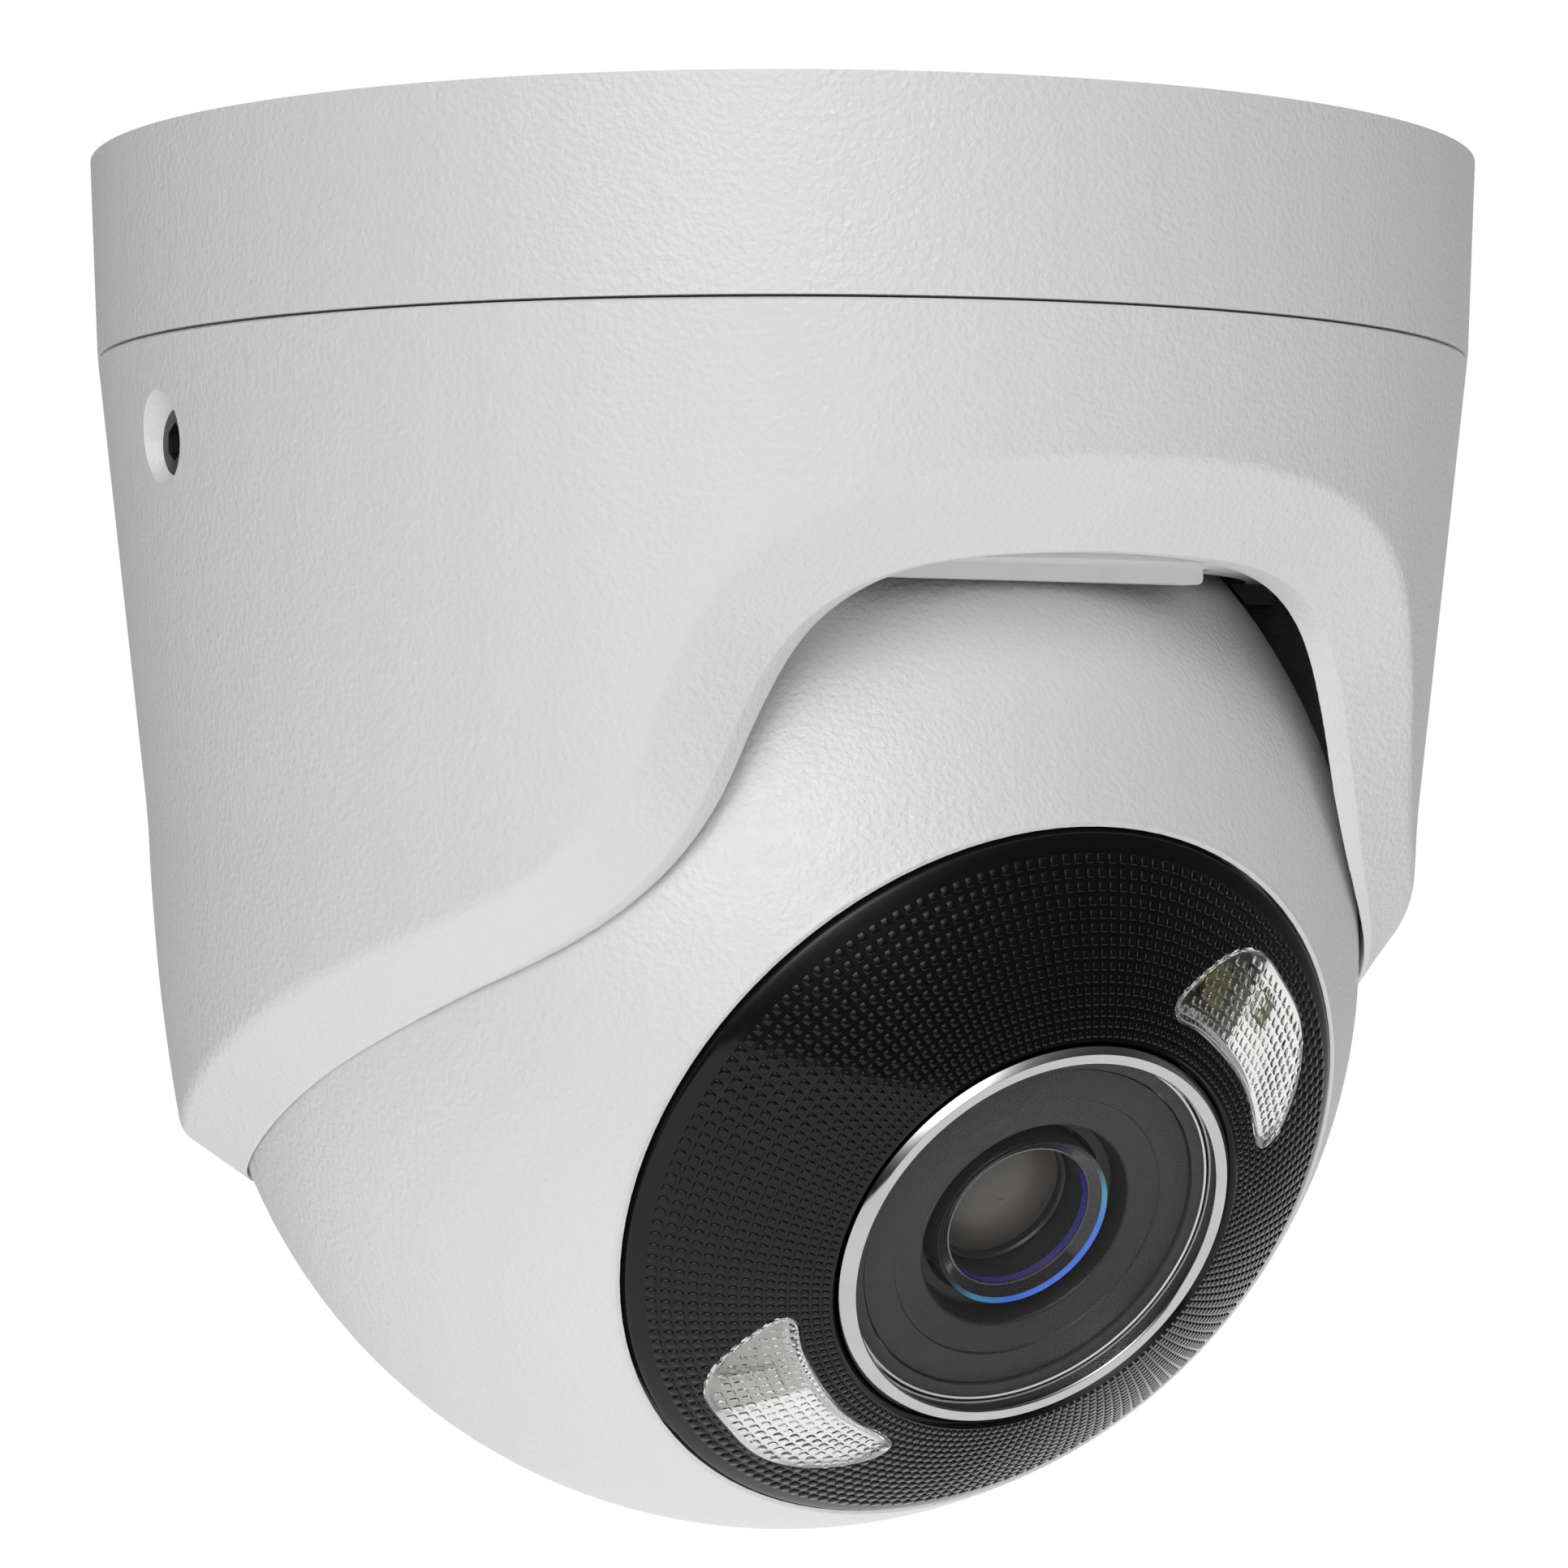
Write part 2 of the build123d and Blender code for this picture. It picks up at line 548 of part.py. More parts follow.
def window(turn):
    return bezel_layer(0.05, BEZEL_T - 0.05) & window_prism(turn, -0.12)


def window_seals():
    """Gasket frames that bridge the joint behind each window."""
    layer = bezel_layer(BEZEL_T + 0.02, BEZEL_T + 0.7)
    frames = [window_prism(side, 0.5) - window_prism(side, -0.45) for side in (0, 180)]
    return group([layer & frame for frame in frames])


def reflector(turn):
    """Bright tray behind a window, with a cone round each emitter."""
    tray = window_prism(turn, -0.55, LED_BOARD_Z + BOARD_T, 40)
    tray &= spin((15, 29), (15, 38.6), (CREST_END[0], 38.6), (27.5, 33.0), (27.5, 29))
    for angle, radius in LED_PLACES:
        a = radians(WINDOW_ANGLE + turn + angle)
        cone = Cone(1.9, 4.2, 10.2)
        tray -= Pos(radius * cos(a), radius * sin(a), LED_BOARD_Z + BOARD_T + 5.0) * cone
    return tray


def led_emitters():
    chips = []
    for turn in (0, 180):
        for angle, radius in LED_PLACES:
            place = Rot(0, 0, WINDOW_ANGLE + turn + angle) * Pos(radius, 0, LED_BOARD_Z + BOARD_T)
            chips.append(place * (Pos(0, 0, 0.4) * Box(2.4, 2.4, 0.8) + rod(0.9, 0.7, 1.5)))
    return group(chips)


def trim_ring():
    return spin(
        (TRIM_R, 42.5), (15.95, 42.9), (15.35, 42.9), (15.0, 42.6), (15.0, 40.6), (13.7, 40.6),
        (13.7, 39.8), (15.3, 39.8), (15.3, TRIM_FOOT_Z), (TRIM_R, TRIM_FOOT_Z),
    )


def lens_shroud():
    return spin(
        (13.6, 41.2), (11.1, 41.2), (11.0, 41.05), (8.6, 40.8), (8.6, 38.6), (7.4, 38.6),
        (7.4, 35.0), (9.0, 35.0), (12.8, 36.2), (13.6, 37.0),
    )


def lens_barrel():
    return spin(
        (7.06, 39.9), (6.85, 40.1), (6.4, 40.1), (5.7, 39.0), (5.7, 35.2), (4.6, 35.2),
        (4.6, 19.9), (3.9, 19.9), (3.9, 18.3), (6.0, 18.3), (6.0, 29.0), (7.06, 29.0),
    )


def front_element():
    disc = rod(5.6, 35.25, 36.0)
    crown = Pos(0, 0, 37.0 - 13.5) * Sphere(13.5) & rod(5.1, 35.9, 38)
    return disc + crown


def rear_element():
    lower = Pos(0, 0, 20.0 + 11.0) * Sphere(11.0)
    upper = Pos(0, 0, 22.8 - 11.0) * Sphere(11.0)
    return (lower & upper) & rod(4.5, 19, 24)


add("front_bezel", front_bezel())
add("window_right", window(0))
add("window_left", window(180))
add("window_seals", window_seals())
add("reflector_right", reflector(0))
add("reflector_left", reflector(180))
add("led_emitters", led_emitters())
add("led_board", tube(26.2, 14.6, LED_BOARD_Z, LED_BOARD_Z + BOARD_T))
add("trim_ring", trim_ring())
add("front_glass", rod(GLASS_R, 41.4, 42.6))
add("glass_seal", tube(GLASS_R, 13.75, 40.65, 41.4))
add("lens_shroud", lens_shroud())
add("lens_barrel", lens_barrel())
add("lens_front_element", front_element())
add("lens_rear_element", rear_element())
add("lens_retaining_ring", tube(5.65, 5.2, 36.05, 36.9))

# ---- boards, sensor and infrared-cut filter --------------------------------------------
POST_AT = ring_of(4, 24.3, 0)
SPACER_AT = [(x, y) for x in (-11.5, 11.5) for y in (-11.5, 11.5)]
SENSOR_TOP = SENSOR_BOARD_Z + BOARD_T
MAIN_TOP = MAIN_BOARD_Z + BOARD_T
FRAME_Z0 = 14.7
FRAME_Z1 = 17.2
SLIDER_X0 = -FILTER_TRAVEL / 2 - 6.5
CHIP_AT = (-7, 7, 8.5, 18.5)


def heat_sink():
    sink = tube(30.0, 7.6, SINK_Z, 4.2)
    for x, y in POST_AT:
        sink += rod(1.6, 4.0, LED_BOARD_Z, x, y)
    return sink


def board_standoffs():
    lower = [tube(1.8, 0.95, 4.2, MAIN_BOARD_Z, x, y) for x, y in SPACER_AT]
    upper = [tube(1.8, 0.95, MAIN_TOP, SENSOR_BOARD_Z, x, y) for x, y in SPACER_AT]
    return group(lower + upper)


def sensor_board():
    board = block(-17, 17, -14, 14, SENSOR_BOARD_Z, SENSOR_TOP)
    for x, y in SPACER_AT:
        board -= rod(0.95, 10, 15, x, y)
    return board


def main_board():
    board = rod(22.0, MAIN_BOARD_Z, MAIN_TOP)
    for x, y in SPACER_AT:
        board -= rod(0.95, 4, 10, x, y)
    return board


def main_chips():
    processor = block(*CHIP_AT, 4.9, MAIN_BOARD_Z)
    memory = block(-14.5, -5.5, -5, 7, MAIN_TOP, MAIN_TOP + 1.0)
    plug = block(-4, 8, 14.5, 18.5, MAIN_TOP, MAIN_TOP + 3.0)
    switch_body = block(-11, -7, -19, -16, MAIN_TOP, MAIN_TOP + 2.2)
    return group([processor, memory, plug, switch_body])


def lens_holder():
    holder = block(-9.4, 9.4, -9.4, 9.4, FRAME_Z1 + 0.2, 20.0)
    for way in (-1, 1):
        holder += block(-9.4, 9.4, min(way * 6.0, way * 9.4), max(way * 6.0, way * 9.4),
                        SENSOR_TOP, FRAME_Z1 + 0.3)
    holder += rod(8.6, 19.5, 27.0)
    return holder - rod(6.05, 10, 30)


def ir_cut_frame():
    frame = block(-11, 11, -5.5, 5.5, FRAME_Z0, FRAME_Z1)
    frame -= block(-10.1, 10.1, -3.9, 3.9, FRAME_Z0 + 0.6, FRAME_Z1 - 0.6)
    return frame - rod(3.1, 10, 20)


def card_socket():
    socket = block(-4.0, 8.5, -20.0, -9.0, MAIN_TOP, MAIN_TOP + 2.0)
    return socket - block(-3.2, 7.7, -21.0, -10.0, MAIN_TOP + 0.5, MAIN_TOP + 1.5)


add("heat_sink", heat_sink())
add("thermal_pad", block(*CHIP_AT, 4.2, 4.9))
add("main_board", main_board())
add("main_chips", main_chips())
add("board_standoffs", board_standoffs())
add("sensor_board", sensor_board())
add("board_screws", group([
    screw(x, y, SENSOR_TOP, 5.0, 0.9, 1.7, 1.0, up=False) for x, y in SPACER_AT
]))
add("image_sensor", block(-4.5, 4.5, -4, 4, SENSOR_TOP, SENSOR_TOP + 1.2))
add("lens_holder", lens_holder())
add("ir_cut_frame", ir_cut_frame())
add("ir_cut_coil", block(-16.8, -11.1, -4.0, 4.0, SENSOR_TOP + 0.05, FRAME_Z1))
add("ir_cut_slider", block(SLIDER_X0, SLIDER_X0 + 13.0, -3.6, 3.6, FRAME_Z0 + 0.9, FRAME_Z1 - 0.9))
add("card_socket", card_socket())
add("reset_button", Pos(-9, -19.35, MAIN_TOP + 1.1) * Rot(90, 0, 0) * rod(0.8, 0, 1.6))
add("microphone", Rot(MIC_ANGLE, 0, 0) * rod(1.9, 41.8, INNER_R - 0.1))

HEAD_NODES = [
    "rear_cup", "cup_grommet", "ball_front_shell", "card_door", "roll_seal", "head_back_plate",
    "roll_retainer", "back_gland", "roll_screws", "shell_screws", "front_bezel", "window_right",
    "window_left", "window_seals", "reflector_right", "reflector_left", "led_emitters",
    "led_board", "trim_ring", "front_glass", "glass_seal", "lens_shroud", "lens_barrel",
    "lens_front_element", "lens_rear_element", "lens_retaining_ring", "heat_sink",
    "thermal_pad", "main_board", "main_chips", "board_standoffs", "sensor_board",
    "board_screws", "image_sensor", "lens_holder", "ir_cut_frame", "ir_cut_coil",
    "ir_cut_slider", "card_socket", "reset_button", "microphone",
]

os.makedirs("parts", exist_ok=True)
for node, shape in NODES.items():
    placed = HEAD * shape if node in HEAD_NODES else shape
    export_step(placed, f"parts/{node}.step")
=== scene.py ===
import json
from math import atan2, cos, hypot, pi, radians, sin, sqrt, tan

import bmesh
import bpy
import numpy as np
from mathutils import Matrix, Vector


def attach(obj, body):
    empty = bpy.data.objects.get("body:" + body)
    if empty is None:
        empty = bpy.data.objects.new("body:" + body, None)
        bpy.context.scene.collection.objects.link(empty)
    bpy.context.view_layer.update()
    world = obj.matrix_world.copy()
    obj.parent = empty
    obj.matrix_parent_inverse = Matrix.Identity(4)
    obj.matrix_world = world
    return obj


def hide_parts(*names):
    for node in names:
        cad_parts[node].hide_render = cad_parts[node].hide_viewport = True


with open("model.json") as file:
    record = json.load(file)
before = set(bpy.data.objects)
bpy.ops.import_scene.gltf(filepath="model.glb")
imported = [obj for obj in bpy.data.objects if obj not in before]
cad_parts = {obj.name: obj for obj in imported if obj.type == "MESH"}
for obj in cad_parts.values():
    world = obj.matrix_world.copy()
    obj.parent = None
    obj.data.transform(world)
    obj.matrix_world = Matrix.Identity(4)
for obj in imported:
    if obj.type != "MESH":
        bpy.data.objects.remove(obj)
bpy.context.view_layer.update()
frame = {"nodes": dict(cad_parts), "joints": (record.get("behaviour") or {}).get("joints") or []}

MM = 0.001
NODES = frame["nodes"]
scene = bpy.context.scene

# Head frame: +Z along the lens, +X sideways, +Y towards the ball's top, origin at the ball centre.
roll = next(j for j in frame["joints"] if j["name"] == "roll")
lens_axis = Vector(roll["axis"]).normalized()
across = Vector((1, 0, 0))
HEAD = Matrix((across, lens_axis.cross(across), lens_axis)).transposed().to_4x4()
HEAD.translation = Vector(roll["pos_m"])
ROW = Matrix.Identity(4)
BALL_Z = roll["pos_m"][2] / MM


# ---- mesh tools -----------------------------------------------------------------------
def new_object(name, points, faces, place=ROW):
    """Mesh object from points in millimetres in the given frame."""
    mesh = bpy.data.meshes.new(name)
    mesh.from_pydata((np.asarray(points, float) * MM).tolist(), [], faces)
    mesh.transform(place)
    mesh.validate()
    obj = bpy.data.objects.new(name, mesh)
    scene.collection.objects.link(obj)
    return obj


def smooth(obj, angle=32.0):
    obj.data.shade_smooth()
    obj.data.set_sharp_from_angle(angle=radians(angle))
    return obj


def boolean(obj, cutter, operation="DIFFERENCE"):
    """Cuts, joins or trims obj by cutter, and removes cutter."""
    step = obj.modifiers.new("boolean", "BOOLEAN")
    step.operation = operation
    step.solver = "EXACT"
    step.object = cutter
    bpy.context.view_layer.update()
    graph = bpy.context.evaluated_depsgraph_get()
    mesh = bpy.data.meshes.new_from_object(obj.evaluated_get(graph))
    obj.modifiers.clear()
    obj.data = mesh
    bpy.data.objects.remove(cutter)
    return obj


def corner(before, at, after, radius, steps):
    """Points of a round arc that replaces a corner."""
    before, at, after = (np.asarray(p, float) for p in (before, at, after))
    arm_in, arm_out = before - at, after - at
    long_in, long_out = np.linalg.norm(arm_in), np.linalg.norm(arm_out)
    arm_in, arm_out = arm_in / max(long_in, 1e-9), arm_out / max(long_out, 1e-9)
    turn = pi - np.arccos(np.clip(arm_in @ arm_out, -1, 1))
    reach = min(radius * tan(turn / 2), 0.45 * long_in, 0.45 * long_out)
    weight = cos(turn / 2)
    arc = []
    for t in np.linspace(0, 1, steps + 1):
        parts = (1 - t) ** 2, 2 * weight * t * (1 - t), t * t
        arc.append((parts[0] * (at + arm_in * reach) + parts[1] * at
                    + parts[2] * (at + arm_out * reach)) / sum(parts))
    return arc


def rounded(outline, radius=0.1, steps=3):
    """Closed outline with its corners rounded. A third number on a point is its own radius."""
    flat = [np.array(p[:2], float) for p in outline]
    points = []
    for i, p in enumerate(outline):
        own = p[2] if len(p) > 2 else radius
        if own <= 0 or p[0] == 0:
            points.append(flat[i])
        else:
            points.extend(corner(flat[i - 1], flat[i], flat[(i + 1) % len(flat)], own, steps))
    return points


def grid_faces(rows, columns):
    """Quads of a grid closed both ways. Point (row, column) has number row * columns + column."""
    faces = []
    for i in range(rows):
        for j in range(columns):
            i2, j2 = (i + 1) % rows, (j + 1) % columns
            faces.append((i * columns + j, i * columns + j2, i2 * columns + j2, i2 * columns + j))
    return faces


def merge_doubles(obj, distance=1e-7):
    """Joins coincident points and turns all faces outwards."""
    work = bmesh.new()
    work.from_mesh(obj.data)
    bmesh.ops.remove_doubles(work, verts=work.verts, dist=distance)
    bmesh.ops.dissolve_degenerate(work, edges=work.edges, dist=distance)
    bmesh.ops.recalc_face_normals(work, faces=work.faces)
    work.to_mesh(obj.data)
    work.free()
    return obj


def lathe(name, outline, place=HEAD, steps=256, radius=0.1, arc_steps=3):
    """Solid of revolution from a closed (radius, height) outline."""
    outline = rounded(outline, radius, arc_steps)
    turns = np.arange(steps) * 2 * pi / steps
    points = [(r * cos(a), r * sin(a), z) for r, z in outline for a in turns]
    return merge_doubles(new_object(name, points, grid_faces(len(outline), steps), place))


def periodic_spline(knots, values, at):
    """Closed cubic spline through values, with knots one longer than values."""
    values, span = np.asarray(values, float), np.diff(knots)
    n = len(span)
    matrix, right = np.zeros((n, n)), np.zeros_like(values)
    for i in range(n):
        p, q = (i - 1) % n, (i + 1) % n
        matrix[i, p] += span[p]
        matrix[i, i] += 2 * (span[p] + span[i])
        matrix[i, q] += span[i]
        right[i] = 6 * ((values[q] - values[i]) / span[i] - (values[i] - values[p]) / span[p])
    bend = np.linalg.solve(matrix, right)
    i = np.clip(np.searchsorted(knots, at, side="right") - 1, 0, n - 1)
    q = (i + 1) % n
    gap = span[i][:, None]
    past, left = (at - knots[i])[:, None], (knots[i + 1] - at)[:, None]
    return ((bend[i] * left ** 3 + bend[q] * past ** 3) / (6 * gap)
            + (values[i] / gap - bend[i] * gap / 6) * left
            + (values[q] / gap - bend[q] * gap / 6) * past)


def chord_knots(points):
    steps = np.linalg.norm(np.roll(points, -1, axis=0) - points, axis=1)
    return np.concatenate([[0], np.cumsum(steps)])


# ---- materials ------------------------------------------------------------------------
class Finish:
    """Small helper that builds one procedural material round a Principled shader."""

    def __init__(self, name):
        self.mat = bpy.data.materials.new(name)
        self.mat.use_nodes = True
        self.tree = self.mat.node_tree
        self.bsdf = self.tree.nodes["Principled BSDF"]
        self.where = self.node("ShaderNodeTexCoord").outputs["Object"]

    def node(self, kind, **settings):
        made = self.tree.nodes.new(kind)
        for key, value in settings.items():
            setattr(made, key, value)
        return made

    def link(self, a, b):
        self.tree.links.new(a, b)

    def value(self, socket, number):
        self.bsdf.inputs[socket].default_value = number
        return self

    def noise(self, scale, detail=2.0, rough=0.5, stretch=(1, 1, 1)):
        spread = self.node("ShaderNodeMapping")
        spread.inputs["Scale"].default_value = stretch
        self.link(self.where, spread.inputs["Vector"])
        made = self.node("ShaderNodeTexNoise")
        made.inputs["Scale"].default_value = scale
        made.inputs["Detail"].default_value = detail
        made.inputs["Roughness"].default_value = rough
        self.link(spread.outputs["Vector"], made.inputs["Vector"])
        return made.outputs["Fac"]

    def colour(self, low, high, source):
        """Colour that varies between two tones with a texture."""
        ramp = self.node("ShaderNodeMix", data_type="RGBA")
        ramp.inputs[6].default_value = (*low, 1)
        ramp.inputs[7].default_value = (*high, 1)
        self.link(source, ramp.inputs[0])
        self.link(ramp.outputs[2], self.bsdf.inputs["Base Color"])
        return self

    def rough(self, low, high, source):
        ramp = self.node("ShaderNodeMapRange")
        ramp.inputs["From Min"].default_value = 0.3
        ramp.inputs["From Max"].default_value = 0.7
        ramp.inputs["To Min"].default_value = low
        ramp.inputs["To Max"].default_value = high
        self.link(source, ramp.inputs["Value"])
        self.link(ramp.outputs["Result"], self.bsdf.inputs["Roughness"])
        return self

    def bump(self, *layers):
        """Bumps from (texture, strength, height in millimetres) layers."""
        below = None
        for source, strength, height in layers:
            made = self.node("ShaderNodeBump")
            made.inputs["Strength"].default_value = strength
            made.inputs["Distance"].default_value = height * MM
            self.link(source, made.inputs["Height"])
            if below is not None:
                self.link(below.outputs["Normal"], made.inputs["Normal"])
            below = made
        self.link(below.outputs["Normal"], self.bsdf.inputs["Normal"])
        return self

    def clear_to_lamps(self, tint=(1, 1, 1)):
        """Lets lamps and sky light through the glass."""
        path = self.node("ShaderNodeLightPath")
        open_ = self.node("ShaderNodeBsdfTransparent")
        open_.inputs["Color"].default_value = (*tint, 1)
        mix = self.node("ShaderNodeMixShader")
        self.link(path.outputs["Is Shadow Ray"], mix.inputs[0])
        self.link(self.bsdf.outputs["BSDF"], mix.inputs[1])
        self.link(open_.outputs["BSDF"], mix.inputs[2])
        self.link(mix.outputs["Shader"], self.tree.nodes["Material Output"].inputs["Surface"])
        return self


def scaled(colour, factor):
    return tuple(min(1.0, c * factor) for c in colour)


def shell(name, colour, rough=0.5, grain=0.6):
    """Powder-coated metal or grained plastic: a fine leather grain of about half a millimetre."""
    f = Finish(name)
    f.colour(scaled(colour, 0.99), scaled(colour, 1.01), f.noise(1400, 3))
    f.rough(rough - 0.04, rough + 0.06, f.noise(900, 2))
    f.bump((f.noise(2100, 1.5, 0.5), grain, 0.19))
    f.value("Metallic", 0.12)
    return f.mat


def plastic(name, colour, rough=0.4, grain=0.15, scale=2400, coat=0.0, shine=0.5):
    f = Finish(name)
    f.value("Specular IOR Level", shine)
    f.colour(scaled(colour, 0.93), scaled(colour, 1.07), f.noise(260, 3))
    f.rough(rough - 0.05, rough + 0.05, f.noise(1200, 2))
    f.bump((f.noise(scale, 2, 0.6), grain, 0.03))
    f.value("Coat Weight", coat)
    f.value("Coat Roughness", 0.12)
    return f.mat


def metal(name, colour, rough=0.25, brushed=(1, 1, 1), scale=900, grain=0.12):
    f = Finish(name)
    f.value("Metallic", 1.0)
    f.colour(scaled(colour, 0.9), scaled(colour, 1.06), f.noise(320, 3, 0.5, brushed))
    f.rough(rough * 0.75, rough * 1.3, f.noise(scale, 3, 0.6, brushed))
    f.bump((f.noise(scale * 1.6, 2, 0.6, brushed), grain, 0.01))
    return f.mat


def rubber(name, colour, rough=0.7):
    f = Finish(name)
    f.colour(scaled(colour, 0.85), scaled(colour, 1.2), f.noise(500, 3))
    f.rough(rough - 0.08, rough + 0.08, f.noise(1500, 2))
    f.bump((f.noise(3200, 2, 0.7), 0.3, 0.03))
    return f.mat


def glass(name, colour, rough=0.0, ior=1.5, film=0.0, film_ior=1.38):
    f = Finish(name)
    f.colour(scaled(colour, 0.985), colour, f.noise(90, 2))
    f.rough(rough, rough, f.noise(160, 2))
    f.value("Transmission Weight", 1.0)
    f.value("IOR", ior)
    f.value("Thin Film Thickness", film)
    f.value("Thin Film IOR", film_ior)
    f.clear_to_lamps(scaled(colour, 0.96))
    return f.mat


def thin_glass(name, shine):
    """Clear flat glass: mostly see-through, with a faint sharp reflection."""
    f = Finish(name)
    f.colour((0.985, 0.985, 0.985), (1.0, 1.0, 1.0), f.noise(60, 2))
    f.value("Metallic", 1.0)
    f.value("Roughness", 0.01)
    open_ = f.node("ShaderNodeBsdfTransparent")
    mix = f.node("ShaderNodeMixShader")
    mix.inputs[0].default_value = shine
    f.link(open_.outputs["BSDF"], mix.inputs[1])
    f.link(f.bsdf.outputs["BSDF"], mix.inputs[2])
    f.link(mix.outputs["Shader"], f.tree.nodes["Material Output"].inputs["Surface"])
    return f.mat


def board(name, colour):
    f = Finish(name)
    tracks = f.node("ShaderNodeTexBrick")
    tracks.inputs["Scale"].default_value = 420
    tracks.inputs["Mortar Size"].default_value = 0.035
    tracks.inputs["Color1"].default_value = (*colour, 1)
    tracks.inputs["Color2"].default_value = (*scaled(colour, 1.15), 1)
    tracks.inputs["Mortar"].default_value = (*scaled(colour, 1.9), 1)
    f.link(f.where, tracks.inputs["Vector"])
    f.link(tracks.outputs["Color"], f.bsdf.inputs["Base Color"])
    f.rough(0.25, 0.35, f.noise(700, 2))
    f.bump((tracks.outputs["Fac"], 0.2, 0.02))
    return f.mat


def phosphor(name):
    """White lamp package whose middle is yellow."""
    f = Finish(name)
    f.colour((0.80, 0.74, 0.30), (0.92, 0.88, 0.62), f.noise(900, 2))
    f.rough(0.2, 0.35, f.noise(1400, 2))
    f.bump((f.noise(2500, 2), 0.1, 0.01))
    f.value("Coat Weight", 0.8)
    return f.mat


WHITE = (0.86, 0.86, 0.857)
LOOKS = {
    "shell_white": shell("shell_white_look", WHITE),
    "cup_white": shell("cup_white_look", WHITE),
    "inner_white": plastic("inner_white_look", (0.90, 0.90, 0.89), 0.38, 0.06),
    "plate_steel": metal("plate_steel_look", (0.62, 0.63, 0.65), 0.32),
    "screw_steel": metal("screw_steel_look", (0.55, 0.56, 0.58), 0.28),
    "spring_steel": metal("spring_steel_look", (0.42, 0.43, 0.46), 0.3, (1, 1, 12)),
    "black_rubber": rubber("black_rubber_look", (0.035, 0.035, 0.038)),
    "grey_foam": rubber("grey_foam_look", (0.18, 0.18, 0.19), 0.9),
    "seam_seal": rubber("seam_seal_look", (0.62, 0.62, 0.61), 0.5),
    "friction_pom": plastic("friction_pom_look", (0.10, 0.10, 0.105), 0.45),
    "brass": metal("brass_look", (0.78, 0.60, 0.30), 0.22, (8, 1, 1)),
    "lock_steel": metal("lock_steel_look", (0.16, 0.16, 0.17), 0.38, (6, 1, 1)),
    "bezel_black": plastic("bezel_black_look", (0.006, 0.006, 0.0064), 0.11, 0.02, 1900, 0.0, 0.30),
    "window_clear": glass("window_clear_look", (0.97, 0.975, 0.97), 0.02, 1.56),
    "reflector": metal("reflector_look", (0.90, 0.90, 0.89), 0.16, (1, 1, 1), 500, 0.2),
    "led_ceramic": phosphor("led_ceramic_look"),
    "trim_chrome": metal("trim_chrome_look", (0.57, 0.57, 0.575), 0.12, (1, 1, 1), 600, 0.01),
    "lens_glass": glass("lens_glass_look", (0.93, 0.95, 1.0), 0.0, 1.6, 420.0, 1.38),
    "front_glass": thin_glass("front_glass_look", 0.006),
    "shroud_grey": plastic("shroud_grey_look", (0.009, 0.009, 0.0092), 0.5, 0.003, 2600),
    "barrel_black": plastic("barrel_black_look", (0.016, 0.016, 0.018), 0.35, 0.08),
    "holder_black": plastic("holder_black_look", (0.02, 0.02, 0.02), 0.5),
    "board_green": board("board_green_look", (0.012, 0.10, 0.045)),
    "board_white": board("board_white_look", (0.70, 0.70, 0.68)),
    "chip_black": plastic("chip_black_look", (0.022, 0.022, 0.024), 0.5, 0.3),
    "heat_alu": metal("heat_alu_look", (0.70, 0.71, 0.72), 0.4),
    "pad_blue": rubber("pad_blue_look", (0.22, 0.38, 0.60), 0.6),
    "sensor_dark": plastic("sensor_dark_look", (0.03, 0.04, 0.06), 0.08, 0.02, 3000, 1.0),
    "filter_glass": plastic("filter_glass_look", (0.20, 0.42, 0.40), 0.12, 0.02, 3000, 1.0),
    "coil_black": plastic("coil_black_look", (0.05, 0.05, 0.05), 0.5),
    "socket_metal": metal("socket_metal_look", (0.70, 0.70, 0.71), 0.25, (1, 10, 1)),
}

OWN_LOOK = {
    "window_seals": rubber("window_seals_look", (0.55, 0.55, 0.54), 0.5),
    "pan_seal": rubber("pan_seal_look", (0.01, 0.01, 0.01), 0.6),
    "lock_insert": LOOKS["lock_steel"],
}
front_lens = Finish("front_lens_look")
front_lens.colour((0.056, 0.053, 0.048), (0.140, 0.133, 0.121), front_lens.noise(6200, 4, 0.9))
front_lens.rough(0.3, 0.42, front_lens.noise(2600, 2))
front_lens.bump((front_lens.noise(5200, 2), 0.1, 0.01))
OWN_LOOK["lens_front_element"] = front_lens.mat

for name, cad in NODES.items():
    for held in cad.material_slots:
        held.material = OWN_LOOK.get(name, LOOKS[held.material.name])


def piece(obj, body, slot, *stands_for, look=None):
    """Puts a finished shape on a body, in its slot's look unless it has one of its own."""
    obj.data.materials.clear()
    obj.data.materials.append(look or LOOKS[slot])
    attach(obj, body)
    if stands_for:
        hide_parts(*stands_for)
    return obj


